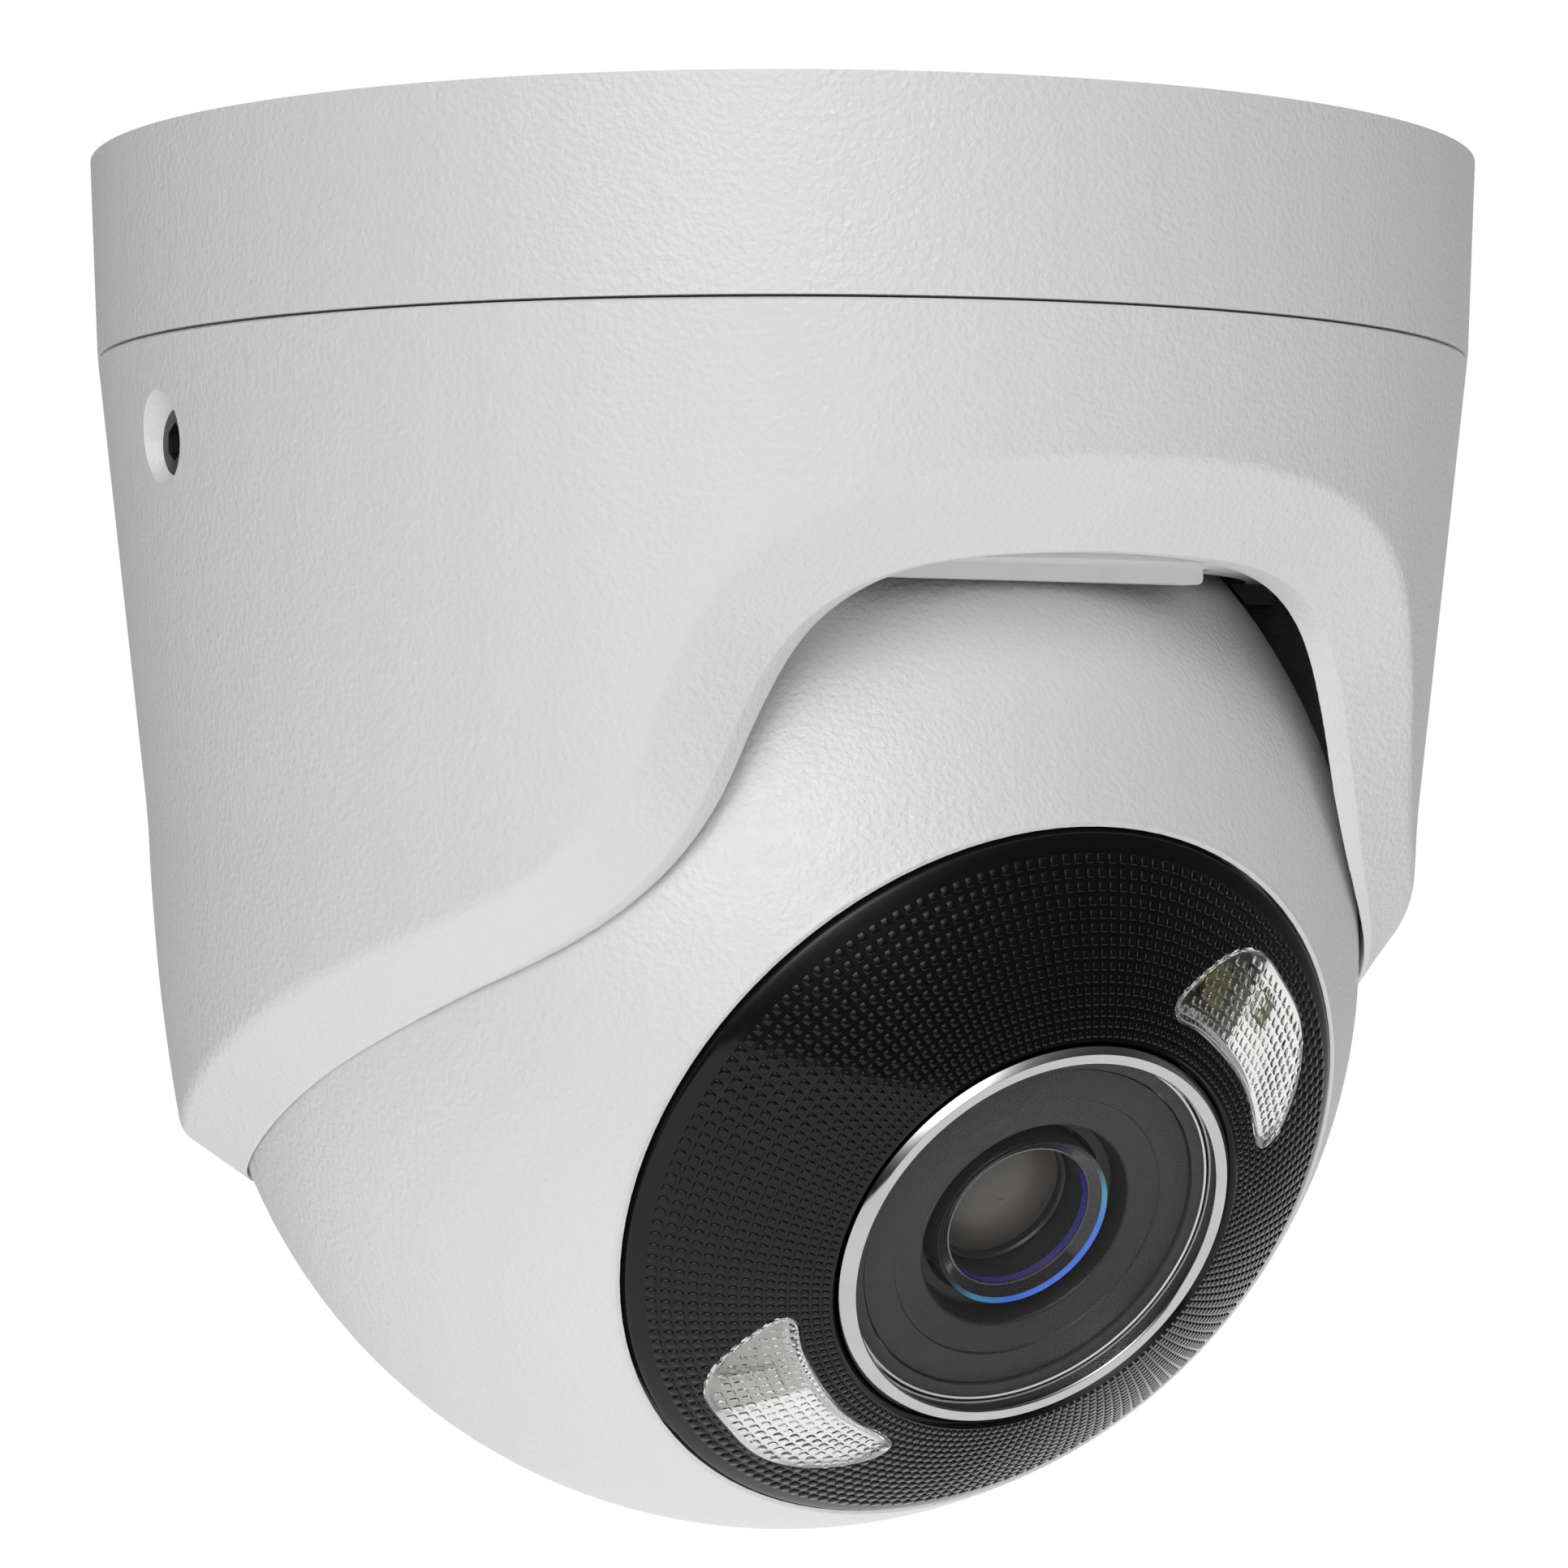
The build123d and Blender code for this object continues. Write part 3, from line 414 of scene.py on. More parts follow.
# ---- housing: side wall, wide chamfer round the arched opening, rim and inside ---------
WALL = [(54.4, -15.55), (50.6, -50.5), (50.2, -57.0), (49.35, -66.4), (47.76, -76.7), (45.6, -86.0)]
CHAMFER_EDGE = [
    (0, -26.05), (9, -26.3), (17, -27.3), (23.5, -28.8), (29.6, -31.4), (33.8, -34.4),
    (36.8, -38.2), (39.3, -42.5), (41.8, -47.6), (45.6, -52.4), (52, -56.5), (62, -60.0),
    (72, -62.95), (84, -67.0), (96.5, -71.4), (108, -75.1), (121, -77.2), (145, -78.0),
    (180, -78.2),
]
OPENING_EDGE = [
    (0, 48.6, -32.5), (7, 48.6, -32.65), (14.2, 48.5, -33.1), (20.6, 48.3, -34.2),
    (25.6, 48.1, -36.1), (29.2, 47.9, -38.6), (32.0, 47.8, -41.9), (34.2, 47.7, -45.6),
    (36.6, 47.6, -50.0), (40.6, 47.3, -54.8), (48.0, 47.0, -59.6), (57, 46.7, -63.2),
    (66, 46.2, -66.3), (77.4, 45.6, -70.15), (91, 44.6, -74.9), (103, 43.5, -78.2),
    (117, 42.6, -80.4), (142, 42.2, -81.4), (180, 42.1, -81.6),
]
RIM_END = [
    (0, 43.5, -32.4), (6, 43.5, -32.5), (12, 43.4, -32.9), (17.6, 43.2, -33.9),
    (21.8, 43.0, -35.8), (24.6, 42.8, -38.4), (26.6, 42.7, -41.8), (28.6, 42.6, -45.7),
    (31.2, 42.5, -50.6), (36.0, 42.2, -56.0), (45.0, 42.2, -61.6), (56, 42.4, -65.6),
    (66, 42.2, -69.0), (77.4, 41.6, -72.9), (91, 40.6, -77.8), (103, 39.4, -81.2),
    (117, 38.4, -83.6), (142, 37.9, -84.7), (180, 37.8, -84.9),
]
CAVITY_R = 46.3
LEDGE_Z = -27.9
LOCK_Z = -23.4
TOP_OUTLINE = [
    (50.05, LEDGE_Z), (50.05, -19.45), (51.15, -19.45), (51.15, -17.75), (50.05, -17.75),
    (50.05, -15.55), (51.6, -15.55), (51.6, -17.0), (52.9, -17.0), (52.9, -15.55),
    (54.25, -15.55),
]
COLUMNS_PER_SPAN = 11
WALL_ROWS, CHAMFER_ROWS, INNER_ROWS = 26, 7, 14
CHAMFER_ROUND, EDGE_ROUND, RIM_ROUND = 1.5, 0.28, 0.12
MIN_RIM = 0.35


def polar_point(angle, radius, z):
    """Point at an angle in degrees from the front, positive towards +X."""
    return np.array([radius * sin(radians(angle)), -radius * cos(radians(angle)), z])


def wall_radius(z):
    """Radius of the side wall: a straight cone, then a curve through the lower points."""
    if z >= WALL[1][1]:
        (r0, z0), (r1, z1) = WALL[:2]
        return r0 + (r1 - r0) * (z - z0) / (z1 - z0)
    knots = WALL[1:]
    first = (WALL[1][0] - WALL[0][0]) / (WALL[1][1] - WALL[0][1])
    slopes = [first]
    for (r0, z0), (r2, z2) in zip(knots, knots[2:]):
        slopes.append((r2 - r0) / (z2 - z0))
    slopes.append((knots[-1][0] - knots[-2][0]) / (knots[-1][1] - knots[-2][1]))
    for i in range(len(knots) - 1):
        (r0, z0), (r1, z1) = knots[i:i + 2]
        if z >= z1 or i == len(knots) - 2:
            h = z1 - z0
            t = (z - z0) / h
            return ((1 + 2 * t) * (1 - t) ** 2 * r0 + t * (1 - t) ** 2 * h * slopes[i]
                    + t * t * (3 - 2 * t) * r1 + t * t * (t - 1) * h * slopes[i + 1])


def both_sides(points):
    """Loop through points of the right half and their mirror images."""
    left = [p * (-1, 1, 1) for p in points[1:-1]]
    return np.array(points + left[::-1])


def cavity_radius(z):
    return sqrt(CAVITY_R ** 2 - min(0.0, z - BALL_Z) ** 2)


def at_radius(p, radius, z):
    scale = radius / hypot(p[0], p[1])
    return np.array([p[0] * scale, p[1] * scale, z])


def rim_foot(edge, inner):
    """Where the rim wall meets the cavity behind it."""
    for t in np.linspace(0, 1, 201):
        p = edge + (inner - edge) * t
        if hypot(p[0], p[1]) <= cavity_radius(p[2]) and np.linalg.norm(p - edge) >= MIN_RIM:
            return p
    return inner


def housing_column(wall, edge, inner):
    """Closed section of the housing through one place of the opening."""
    foot = rim_foot(edge, inner)
    above = at_radius(wall, wall_radius(wall[2] + 3), wall[2] + 3)
    shoulder = corner(above, wall, edge, CHAMFER_ROUND, 9)
    lip = corner(wall, edge, foot, EDGE_ROUND, 5)
    inside_next = at_radius(foot, cavity_radius(foot[2] + 1), foot[2] + 1)
    back = corner(edge, foot, inside_next, RIM_ROUND, 2)
    top = WALL[0][1] - 0.15
    points = []
    for z in np.linspace(top, shoulder[0][2], WALL_ROWS, endpoint=False):
        points.append(at_radius(wall, wall_radius(z), z))
    points += shoulder
    points += [shoulder[-1] + (lip[0] - shoulder[-1]) * t
               for t in np.linspace(0, 1, CHAMFER_ROWS)[1:-1]]
    points += lip + back
    for z in np.linspace(back[-1][2], LEDGE_Z, INNER_ROWS)[1:]:
        points.append(at_radius(foot, cavity_radius(z), z))
    points += [at_radius(foot, r, z) for r, z in TOP_OUTLINE]
    return points


def cutter(name, radius0, radius1, start, along, length, sides=64):
    """Round cutter, straight or tapered, from a start point along an axis."""
    axis = Vector(along).normalized()
    place = axis.to_track_quat("Z", "Y").to_matrix().to_4x4()
    place.translation = Vector(start) * MM
    turns = np.arange(sides) * 2 * pi / sides
    points = [(r * cos(a), r * sin(a), z) for r, z in ((radius0, 0), (radius1, length))
              for a in turns]
    faces = [(i, (i + 1) % sides, sides + (i + 1) % sides, sides + i) for i in range(sides)]
    faces += [tuple(range(sides))[::-1], tuple(range(sides, 2 * sides))]
    return new_object(name, points, faces, place)


def box_cutter(name, low, high):
    points = [(x, y, z) for x in (low[0], high[0]) for y in (low[1], high[1])
              for z in (low[2], high[2])]
    faces = [(0, 1, 3, 2), (4, 6, 7, 5), (0, 4, 5, 1), (2, 3, 7, 6), (0, 2, 6, 4), (1, 5, 7, 3)]
    return new_object(name, points, faces)


def build_housing():
    """Housing lofted round its opening, then bored for the lock screw and the pivots."""
    walls = both_sides([polar_point(a, wall_radius(z), z) for a, z in CHAMFER_EDGE])
    edges = both_sides([polar_point(*p) for p in OPENING_EDGE])
    inners = both_sides([polar_point(*p) for p in RIM_END])
    knots = chord_knots(edges)
    at = np.concatenate([
        np.linspace(a, b, COLUMNS_PER_SPAN, endpoint=False) for a, b in zip(knots, knots[1:])
    ])
    walls, edges, inners = (periodic_spline(knots, v, at) for v in (walls, edges, inners))
    walls = [at_radius(p, wall_radius(p[2]), p[2]) for p in walls]
    columns = [housing_column(*three) for three in zip(walls, edges, inners)]
    points = [p for column in columns for p in column]
    body = new_object("housing_body", points, grid_faces(len(columns), len(columns[0])))
    body = merge_doubles(body)
    boolean(body, cutter("bore", 2.4, 2.4, (-60, 0, LOCK_Z), (1, 0, 0), 15))
    boolean(body, cutter("seat", 3.45, 3.45, (-52.3, 0, LOCK_Z), (1, 0, 0), 7.3))
    boolean(body, cutter("sink", 4.9, 2.5, (-55.3, 0, LOCK_Z), (1, 0, 0), 3.0))
    for side in (-1, 1):
        low, high = sorted((side * 45.9, side * 48.0))
        boolean(body, box_cutter("slot", (low, -5.05, BALL_Z), (high, 5.05, LEDGE_Z + 1)))
        boolean(body, cutter("pivot", 5.05, 5.05, (side * 45.0, 0, BALL_Z), (side, 0, 0), 3.0))
        for turn in (-45, 45):
            x, y = side * 48.1 * cos(radians(turn)), side * 48.1 * sin(radians(turn))
            boolean(body, cutter("hole", 1.05, 1.05, (x, y, LEDGE_Z - 5.2), (0, 0, 1), 6.2, 24))
    return piece(smooth(body, 28), "housing", "shell_white", "housing_shell")


build_housing()


# ---- bezel: black ring with rows of small raised pads, and two clear windows ------------
BEZEL_R, BEZEL_Z = 29.7, 34.95
CREST_R, CREST_Z = 16.85, 42.6
NECK_R = 16.45
SAG = 0.45
BEZEL_T = 1.6
PAD_RINGS = [28.23, 27.37, 26.55, 25.7, 24.88, 24.06, 23.25, 22.45, 21.67, 20.89, 20.14, 19.41,
             18.67, 17.97, 17.31]
PADS_ROUND = 180
PAD_SHARE = 0.76         # pad width at its foot, as a share of its cell
PAD_TOP = 0.80           # width of its top, as a share of its foot
PAD_H = 0.12
PAD_SINK = 0.03
WINDOWS = ((radians(44.5), 1, "right"), (radians(224.5), -1, "left"))
WINDOW_OUTLINE = [
    (0, 26.6), (7, 26.6), (11.5, 25.9), (16, 24.5), (20.5, 22.6), (24, 21.0), (25.1, 20.1),
    (24, 19.3), (20, 19.1), (10, 19.07), (0, 19.07), (-12, 19.07), (-23, 19.1), (-26.6, 19.6),
    (-27.6, 21.2), (-25, 23.1), (-20, 25.1), (-11, 26.6),
]
WINDOW_MID = 22.8
WINDOW_LIFT = 0.22       # how far a window stands above the bezel
WINDOW_ROUND = 0.28
WINDOW_GAP = 0.13


def bezel_height(r):
    share = (r - CREST_R) / (BEZEL_R - CREST_R)
    slope = hypot(BEZEL_R - CREST_R, BEZEL_Z - CREST_Z) / (BEZEL_R - CREST_R)
    return CREST_Z + (BEZEL_Z - CREST_Z) * share + SAG * slope * 4 * share * (1 - share)


def bezel_normal(r):
    """Outward normal of the bezel's surface, as (radial, axial)."""
    rise = (bezel_height(r + 0.01) - bezel_height(r - 0.01)) / 0.02
    return -rise / hypot(rise, 1), 1 / hypot(rise, 1)


def pad_points(angle, r, cell_across, cell_along):
    """Low frustum with a rounded square outline, standing on the bezel's surface."""
    side, up = bezel_normal(r)
    outward = np.array([cos(angle), sin(angle), 0])
    around = np.array([-sin(angle), cos(angle), 0])
    normal = outward * side + np.array([0, 0, up])
    down = outward * up - np.array([0, 0, side])
    origin = outward * r + np.array([0, 0, bezel_height(r)])
    points = []
    for size, height in ((1.0, -PAD_SINK), ((1 + PAD_TOP) / 2, PAD_H * 0.76),
                         (PAD_TOP - 0.04, PAD_H)):
        for a, b in ((1, .52), (.9, .8), (.52, 1), (-.52, 1), (-.9, .8), (-1, .52), (-1, -.52),
                     (-.9, -.8), (-.52, -1), (.52, -1), (.9, -.8), (1, -.52)):
            points.append(origin + down * (a * size * cell_along * PAD_SHARE / 2)
                          + around * (b * size * cell_across * PAD_SHARE / 2) + normal * height)
    return points


def pads_object(name, cells, lift=0.0):
    points, faces, base = [], [], 0
    for angle, r, across_, along_ in cells:
        made = pad_points(angle, r, across_, along_)
        points += [p + (0, 0, lift) for p in made]
        for ring in range(2):
            for i in range(12):
                j = (i + 1) % 12
                a, b = base + ring * 12, base + ring * 12 + 12
                faces.append((a + i, a + j, b + j, b + i))
        faces.append(tuple(base + 24 + i for i in range(12)))
        faces.append(tuple(base + i for i in reversed(range(12))))
        base += 36
    return new_object(name, points, faces, HEAD)


def pad_cells():
    cells = []
    for k, r in enumerate(PAD_RINGS):
        nearby = PAD_RINGS[max(0, k - 1)] - PAD_RINGS[min(len(PAD_RINGS) - 1, k + 1)]
        along = nearby / (min(len(PAD_RINGS) - 1, k + 1) - max(0, k - 1))
        along /= bezel_normal(r)[1]
        for i in range(PADS_ROUND):
            angle = 2 * pi * (i + 0.5) / PADS_ROUND
            cells.append((angle, r, 2 * pi * r / PADS_ROUND, along))
    return cells


def window_loop(grow, count=192):
    """Closed outline of a window as (angle, radius) pairs round its middle."""
    flat = np.array([(r * cos(radians(a)), r * sin(radians(a))) for a, r in WINDOW_OUTLINE])
    knots = chord_knots(flat)
    at = np.linspace(0, knots[-1], count, endpoint=False)
    curve = periodic_spline(knots, flat, at)
    ahead, behind = np.roll(curve, -1, axis=0), np.roll(curve, 1, axis=0)
    tangent = (ahead - behind) / np.linalg.norm(ahead - behind, axis=1)[:, None]
    outward = np.stack([tangent[:, 1], -tangent[:, 0]], axis=1)
    if outward[0][0] < 0:
        outward = -outward
    curve = curve + outward * grow
    return np.array([(atan2(y, x), hypot(x, y)) for x, y in curve])


def inside(loop, angle, r):
    """True if a place given by angle and radius is inside a closed outline."""
    x, y = r * cos(angle), r * sin(angle)
    xs, ys = loop[:, 1] * np.cos(loop[:, 0]), loop[:, 1] * np.sin(loop[:, 0])
    xe, ye = np.roll(xs, -1), np.roll(ys, -1)
    crosses = (ys > y) != (ye > y)
    with np.errstate(divide="ignore", invalid="ignore"):
        left_of = x < (xe - xs) * (y - ys) / (ye - ys) + xs
    return int(np.sum(crosses & left_of)) % 2 == 1


def window_prism(name, turn, hand, grow, z0=20.0, z1=48.0):
    """Upright cutter with a window's outline, grown all round."""
    loop = window_loop(grow)
    n = len(loop)
    points = [(r * cos(a * hand + turn), r * sin(a * hand + turn), z)
              for z in (z0, z1) for a, r in loop]
    faces = [(i, (i + 1) % n, n + (i + 1) % n, n + i) for i in range(n)]
    faces += [tuple(range(n))[::-1], tuple(range(n, 2 * n))]
    return merge_doubles(new_object(name, points, faces, HEAD))


def window_row(loop, turn, hand, lift):
    """Points of an outline at a height over the bezel's curve."""
    return [(r * cos(a * hand + turn), r * sin(a * hand + turn), bezel_height(r) + lift)
            for a, r in loop]


def shrunk(loop, share):
    """Outline drawn in towards the window's middle."""
    return [(a * share, WINDOW_MID + (r - WINDOW_MID) * share) for a, r in loop]


def window_solid(name, turn, hand):
    """Clear window that follows the bezel's curve, with a rounded upper edge."""
    underside = -BEZEL_T + 0.05
    rings = [(0.0, underside)]
    for a in np.linspace(0, pi / 2, 6):
        rings.append((-WINDOW_ROUND * (1 - cos(a)), WINDOW_LIFT - WINDOW_ROUND * (1 - sin(a))))
    points, columns = [], 192
    for inset, lift in rings:
        points += window_row(window_loop(-WINDOW_GAP + inset, columns), turn, hand, lift)
    last = window_loop(-WINDOW_GAP - WINDOW_ROUND, columns)
    for share in np.linspace(1, 0, 15)[1:]:
        points += window_row(shrunk(last, share), turn, hand, WINDOW_LIFT)
    bottom = window_loop(-WINDOW_GAP, columns)
    for share in np.linspace(0, 1, 8, endpoint=False):
        points += window_row(shrunk(bottom, share), turn, hand, underside)
    rows = len(points) // columns
    return merge_doubles(new_object(name, points, grid_faces(rows, columns), HEAD))


def build_bezel():
    """Bezel, its pads, and the two windows. Pads that meet a window are trimmed at its edge."""
    wall_in, neck_in, foot = BEZEL_R - 1.5, NECK_R + 1.2, 32.05
    top = [(r, bezel_height(r), 0) for r in np.linspace(BEZEL_R - 0.25, CREST_R, 28)]
    under = [(r, bezel_height(r) - BEZEL_T, 0) for r in np.linspace(neck_in, wall_in, 16)]
    outline = [(BEZEL_R, foot, 0), (BEZEL_R, BEZEL_Z - 0.05, 0.2)] + top
    outline += [(NECK_R, CREST_Z - 0.4, 0.15), (NECK_R, 36.5, 0), (neck_in, 36.5, 0)]
    outline += under + [(wall_in, foot, 0)]
    body = lathe("bezel_body", outline, steps=360)
    for turn, hand, _ in WINDOWS:
        boolean(body, window_prism("hole", turn, hand, 0.0))
    piece(smooth(body, 35), "head", "bezel_black", "front_bezel")

    wide, tight, pane = window_loop(0.42), window_loop(-0.25), window_loop(-0.62)
    plain, cut, clear = [], [], {turn: [] for turn, _, _ in WINDOWS}
    for cell in pad_cells():
        spot = "plain"
        for turn, hand, _ in WINDOWS:
            local = ((cell[0] - turn + pi) % (2 * pi) - pi) * hand
            if inside(pane, local, cell[1]):
                clear[turn].append(cell)
            if inside(tight, local, cell[1]):
                spot = "gone"
            elif inside(wide, local, cell[1]):
                spot = "cut"
        if spot == "plain":
            plain.append(cell)
        elif spot == "cut":
            cut.append(cell)
    field = smooth(pads_object("bezel_pads", plain), 50)
    piece(field, "head", "bezel_black")
    edge = pads_object("bezel_edge_pads", cut)
    for turn, hand, _ in WINDOWS:
        boolean(edge, window_prism("hole", turn, hand, 0.02))
    piece(smooth(edge, 50), "head", "bezel_black")

    for turn, hand, side in WINDOWS:
        pane_solid = window_solid("window_pane_" + side, turn, hand)
        boolean(pane_solid, pads_object("pads", clear[turn], WINDOW_LIFT), "UNION")
        boolean(pane_solid, window_prism("trim", turn, hand, -WINDOW_GAP + 0.01), "INTERSECT")
        piece(smooth(pane_solid, 35), "head", "window_clear", "window_" + side)


build_bezel()


# ---- reflector trays under each window: a white scoop with a painted glow, and a lamp pocket with painted shade on the right and painted light on the left ---
def window_limits(turn_from_middle, inset):
    """Inner and outer radius of a window at an angle from its middle."""
    loop = window_loop(-inset)
    near = loop[np.abs(loop[:, 0] - turn_from_middle) < radians(1.2)][:, 1]
    return near.min(), near.max()


def tray(name, window, start, end, depth, bowl, look, limits=None, stands_for=()):
    """Curved plate under a window between two angles, hollowed towards its middle."""
    turn, hand, _ = window
    across_count, along_count = 24, 14
    upper, lower = [], []
    for i in range(across_count + 1):
        share = i / across_count
        t = radians(start + (end - start) * share)
        r0, r1 = limits or window_limits(t, WINDOW_GAP + 0.1)
        for k in range(along_count + 1):
            r = r0 + (r1 - r0) * k / along_count
            hollow = bowl * sin(pi * k / along_count) * sin(pi * share)
            top = bezel_height(r) - depth - hollow
            place = r * cos(t * hand + turn), r * sin(t * hand + turn)
            upper.append((*place, top))
            lower.append((*place, top - 0.4))
    n, w = len(upper), along_count + 1
    faces = []
    for i in range(across_count):
        for k in range(along_count):
            a, b, c, d = i * w + k, i * w + k + 1, (i + 1) * w + k + 1, (i + 1) * w + k
            faces += [(a, b, c, d), (n + d, n + c, n + b, n + a)]
    for i in range(across_count):
        for k, turned in ((0, False), (along_count, True)):
            side = (i * w + k, (i + 1) * w + k, n + (i + 1) * w + k, n + i * w + k)
            faces.append(side[::-1] if turned else side)
    for k in range(along_count):
        for i, turned in ((0, True), (across_count, False)):
            side = (i * w + k, i * w + k + 1, n + i * w + k + 1, n + i * w + k)
            faces.append(side[::-1] if turned else side)
    made = merge_doubles(new_object(name, upper + lower, faces, HEAD))
    return piece(smooth(made, 40), "head", "reflector", *stands_for, look=look)


def painted_glow_scoop(name, strength):
    """White scoop with a painted glow: emission that stands in for the light the clear window
    gathers.
    """
    look = plastic(name, (0.88, 0.88, 0.87), 0.3, 0.05)
    glow = look.node_tree.nodes["Principled BSDF"]
    glow.inputs["Emission Color"].default_value = (1, 1, 1, 1)
    glow.inputs["Emission Strength"].default_value = strength
    return look


# painted glow: the scoops' emission stands in for light, stronger on the right than on the left
scoop_right_painted_glow_look = painted_glow_scoop("scoop_right_painted_glow_look", 0.42)
scoop_left_painted_glow_look = painted_glow_scoop("scoop_left_painted_glow_look", 0.12)
# painted shade and light: pocket and lamp are the same parts under both windows, painted near black
# as shade on the right and pale as light on the left
pocket_painted_light_look = plastic("pocket_painted_light_look", (0.43, 0.43, 0.415), 0.35, 0.05)
pocket_painted_shade_look = plastic("pocket_painted_shade_look", (0.022, 0.022, 0.014), 0.35, 0.05)
lamp_painted_shade_look = plastic("lamp_painted_shade_look", (0.13, 0.12, 0.025), 0.3, 0.05)
lamp_painted_light_look = plastic("lamp_painted_light_look", (0.42, 0.42, 0.34), 0.3, 0.05)
RIGHT, LEFT = WINDOWS
tray("scoop_right", RIGHT, -26.0, 2.5, 1.75, 1.3, scoop_right_painted_glow_look, None, ("reflector_right",))
tray("pocket_right", RIGHT, 3.0, 22.5, 3.4, 0.8, pocket_painted_shade_look)
tray("lamp_right_a", RIGHT, 6.0, 12.0, 3.3, 0.6, lamp_painted_shade_look, (20.6, 23.4))
tray("lamp_right_b", RIGHT, -3.5, 1.5, 1.7, 1.2, lamp_painted_shade_look, (22.4, 24.6))
tray("scoop_left", LEFT, -26.0, 1.0, 1.75, 0.9, scoop_left_painted_glow_look, None, ("reflector_left",))
tray("pocket_left", LEFT, 1.5, 22.5, 1.9, 0.7, pocket_painted_light_look)
tray("lamp_left", LEFT, 2.0, 9.0, 1.85, 0.6, lamp_painted_light_look, (21.0, 24.4))

# ---- chrome trim, shroud and lens: turned parts with softened edges ----------------------
piece(smooth(lathe("trim_body", [
    (16.29, 36.5), (16.29, 42.42, 0.08), (15.86, 42.9, 0.06), (15.12, 42.9, 0.05),
    (15.0, 42.78, 0.04), (15.0, 40.6, 0.0), (13.7, 40.6, 0), (13.7, 39.8, 0), (15.3, 39.8, 0),
    (15.3, 36.5, 0),
], steps=360), 30), "head", "trim_chrome", "trim_ring")
piece(smooth(lathe("front_glass_body", [
    (14.9, 41.6, 0.02), (14.9, 42.6, 0.06), (0, 42.6), (0, 41.42), (14.68, 41.42, 0.02),
    (14.68, 41.6, 0.02),
], steps=360), 30), "head", "front_glass", "front_glass")
piece(smooth(lathe("shroud_body", [
    (13.6, 41.2, 0.05), (11.1, 41.2, 0.05), (11.0, 41.05, 0.05), (8.6, 40.8, 0.35),
    (8.35, 38.6, 0.3), (7.4, 38.6, 0.1), (7.4, 35.0, 0), (9.0, 35.0, 0), (12.8, 36.2, 0),
    (13.6, 37.0, 0),
], arc_steps=4), 40), "head", "shroud_grey", "lens_shroud")
piece(smooth(lathe("trim_bead", [
    (14.88, 41.43), (14.88, 41.56, 0.05), (14.71, 41.56, 0.06), (14.71, 41.43),
], steps=360), 30), "head", "inner_white")
piece(smooth(lathe("barrel_body", [
    (7.06, 40.1, 0.1), (7.0, 40.25, 0.05), (6.86, 40.25, 0.05), (6.72, 40.08, 0.05),
    (5.86, 39.5, 0.06), (5.7, 35.2, 0.05), (4.6, 35.2, 0.05), (4.6, 19.9, 0), (3.9, 19.9, 0),
    (3.9, 18.3, 0), (6.0, 18.3, 0), (6.0, 29.0, 0), (7.06, 29.0, 0),
]), 35), "head", "barrel_black", "lens_barrel")
piece(smooth(lathe("retaining_ring_body", [
    (5.65, 36.05, 0.05), (5.65, 36.8, 0.1), (5.5, 36.9, 0.1), (5.35, 36.9, 0.1), (5.2, 36.7, 0.1),
    (5.2, 36.05, 0.05),
]), 35), "head", "barrel_black", "lens_retaining_ring")


def coated(name, plain, tint, edge, towards, start, end, rough=0.25):
    """Dark glass with a painted reflection: the colour ramp lays a coloured glint and a lighter
    tone only on the side that faces a direction.
    """
    f = Finish(name)

    def vector_step(operation, first, second=None):
        made = f.node("ShaderNodeVectorMath", operation=operation)
        f.link(first, made.inputs[0])
        if isinstance(second, Vector):
            made.inputs[1].default_value = second
        elif second is not None:
            f.link(second, made.inputs[1])
        return made.outputs

    from_centre = vector_step("SUBTRACT", f.where, HEAD.translation)[0]
    along_lens = vector_step("PROJECT", from_centre, lens_axis)[0]
    sideways = vector_step("SUBTRACT", from_centre, along_lens)[0]
    unit = vector_step("NORMALIZE", sideways)[0]
    way = (HEAD.to_3x3() @ Vector(towards)).normalized()
    facing = vector_step("DOT_PRODUCT", unit, way)["Value"]
    # painted reflection: the plain colour on the side turned away, the tint on the side that faces
    # towards
    ramp = f.node("ShaderNodeValToRGB")
    f.link(facing, ramp.inputs["Fac"])
    ramp.color_ramp.elements[0].position = start
    ramp.color_ramp.elements[0].color = (*plain, 1)
    ramp.color_ramp.elements[1].position = end
    ramp.color_ramp.elements[1].color = (*tint, 1)
    middle = ramp.color_ramp.elements.new((start + end) / 2)
    middle.color = (*edge, 1)
    f.link(ramp.outputs["Color"], f.bsdf.inputs["Base Color"])
    f.rough(rough, rough + 0.1, f.noise(900, 2))
    f.bump((f.noise(2400, 2), 0.05, 0.01))
    return f.mat


def reflection_arc(name, outline, look):
    """Thin glass ring that carries a painted reflection, seen as a coloured arc."""
    return piece(smooth(lathe(name, outline, steps=192), 40), "head", "lens_glass", look=look)


# painted reflections: front_face has a painted sheen on one side, and the three thin rings have
# painted coloured arcs in place of the glints off the lens's coat
reflection_arc("front_face", [(6.72, 40.21, 0), (5.94, 39.66, 0), (5.94, 39.58, 0), (6.72, 40.13, 0)],
        coated("front_face_painted_sheen_look", (0.020, 0.020, 0.021), (0.10, 0.10, 0.105), (0.022, 0.022, 0.024),
               (-0.85, 0.50, 0), 0.72, 0.99, 0.08))
reflection_arc("reflection_arc_outer", [(7.0, 40.5, 0), (6.70, 40.25, 0), (6.70, 40.17, 0), (7.0, 40.42, 0)],
        coated("blue_arc_look", (0.022, 0.022, 0.024), (0.07, 0.19, 0.78), (0.08, 0.34, 0.50),
               (0.70, -0.71, 0), 0.05, 0.8))
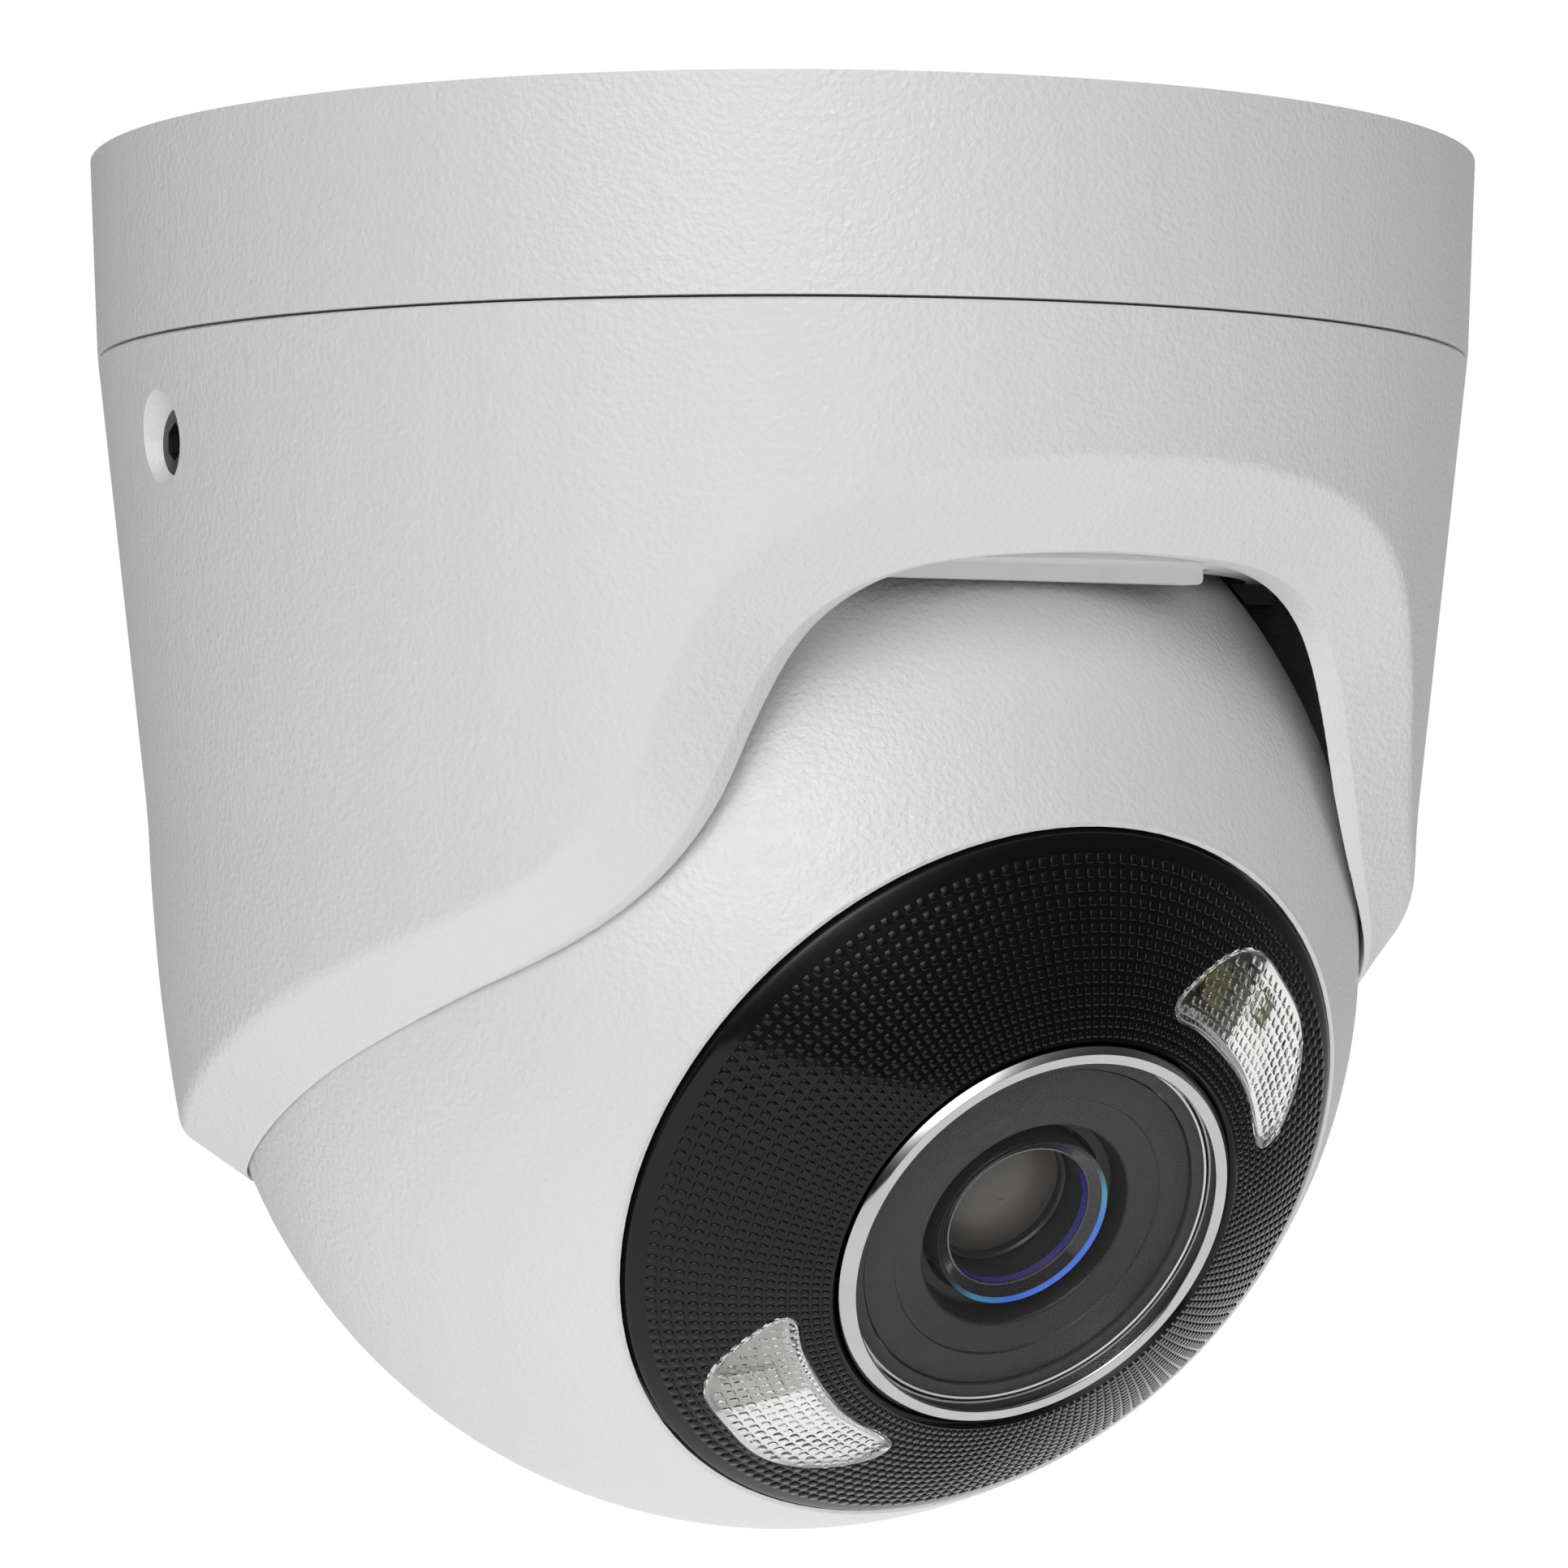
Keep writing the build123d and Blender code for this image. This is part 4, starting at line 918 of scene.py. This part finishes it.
reflection_arc("reflection_arc_rim", [(5.96, 39.70, 0), (5.86, 39.66, 0), (5.86, 39.58, 0), (5.96, 39.62, 0)],
        coated("pale_arc_look", (0.06, 0.06, 0.065), (0.30, 0.28, 0.25), (0.13, 0.14, 0.14),
               (-0.85, 0.50, 0), -0.3, 0.6))
reflection_arc("reflection_arc_inner", [(5.80, 39.55, 0), (5.68, 39.15, 0), (5.68, 39.05, 0), (5.80, 39.35, 0)],
        coated("violet_arc_look", (0.02, 0.02, 0.022), (0.05, 0.045, 0.20), (0.04, 0.03, 0.34),
               (0.70, -0.71, 0), -0.5, 0.95))

# ---- floor, light and camera --------------------------------------------------------------
FLOOR_Z = -0.5
FLOOR_HALF = 1.1
floor_mesh = bpy.data.meshes.new("floor")
floor_mesh.from_pydata(
    [(-FLOOR_HALF, -FLOOR_HALF, FLOOR_Z), (FLOOR_HALF, -FLOOR_HALF, FLOOR_Z),
     (FLOOR_HALF, FLOOR_HALF, FLOOR_Z), (-FLOOR_HALF, FLOOR_HALF, FLOOR_Z)], [], [(0, 1, 2, 3)])
floor = bpy.data.objects.new("floor", floor_mesh)
scene.collection.objects.link(floor)
floor_finish = Finish("floor_look")
floor_finish.colour((0.10, 0.10, 0.10), (0.11, 0.11, 0.11), floor_finish.noise(3, 2))
floor_finish.value("Roughness", 0.9)
floor_finish.value("Specular IOR Level", 0.0)
floor_finish.value("Emission Color", (1, 1, 1, 1))
floor_finish.value("Emission Strength", 0.92)
floor_mesh.materials.append(floor_finish.mat)

world = bpy.data.worlds.new("studio")
scene.world = world
world.use_nodes = True
sky = world.node_tree
backdrop = sky.nodes["Background"]
direction = sky.nodes.new("ShaderNodeTexCoord").outputs["Generated"]


VIEW_TURN = radians(29.9)      # the viewer stands this far round from the front


def studio_way(around, height):
    """Direction by the angle round from the viewer, positive to the right, and the height."""
    a, e = radians(around) - VIEW_TURN, radians(height)
    return Vector((sin(a) * cos(e), -cos(a) * cos(e), sin(e)))


def sky_node(operation, a, b=0.0, kind="ShaderNodeMath"):
    node = sky.nodes.new(kind)
    node.operation = operation
    for socket, source in zip(node.inputs, (a, b)):
        if isinstance(source, (int, float, Vector)):
            socket.default_value = source
        else:
            sky.links.new(source, socket)
    return node.outputs["Value"]


def soft_light(around, height, power, width):
    """Round soft light in the sky that fades with the angle from its middle."""
    cosine = sky_node("DOT_PRODUCT", direction, studio_way(around, height), "ShaderNodeVectorMath")
    fade = sky_node("EXPONENT", sky_node("DIVIDE", sky_node("SUBTRACT", cosine, 1.0), width))
    return sky_node("MULTIPLY", fade, power)


light = soft_light(-5, 25, 5.1, 0.055)
for lamp in ((35, 28, 0.05, 0.15), (0, 64, 0.55, 0.15), (172, -10, 1.0, 0.15),
             (-95, 10, 0.17, 0.15), (115, 10, 0.14, 0.15)):
    light = sky_node("ADD", light, soft_light(*lamp))
path = sky.nodes.new("ShaderNodeLightPath")
lit = sky.nodes.new("ShaderNodeMix")
lit.data_type = "FLOAT"
sky.links.new(path.outputs["Is Camera Ray"], lit.inputs[0])
sky.links.new(light, lit.inputs[2])
lit.inputs[3].default_value = 1.0
sky.links.new(lit.outputs[0], backdrop.inputs["Strength"])
backdrop.inputs["Color"].default_value = (1, 1, 1, 1)

scene.view_settings.view_transform = "Standard"
scene.cycles.use_denoising = True
scene.cycles.max_bounces = 14
scene.cycles.transmission_bounces = 12
scene.cycles.glossy_bounces = 6

EYE = Vector((-188.6, -327.9, -50.26)) * MM
LOOK_YAW, LOOK_PITCH = radians(0.022), radians(0.21)
forward = Vector((sin(LOOK_YAW), cos(LOOK_YAW)))
look = Vector((
    forward.x * cos(VIEW_TURN) + forward.y * sin(VIEW_TURN),
    -forward.x * sin(VIEW_TURN) + forward.y * cos(VIEW_TURN),
    tan(LOOK_PITCH),
))
camera_data = bpy.data.cameras.new("camera")
camera_data.sensor_width = 36.0
camera_data.lens = 108.21
camera_data.clip_start = 0.01
camera = bpy.data.objects.new("camera", camera_data)
camera.location = EYE
camera.rotation_euler = look.to_track_quat("-Z", "Y").to_euler()
scene.collection.objects.link(camera)
scene.camera = camera
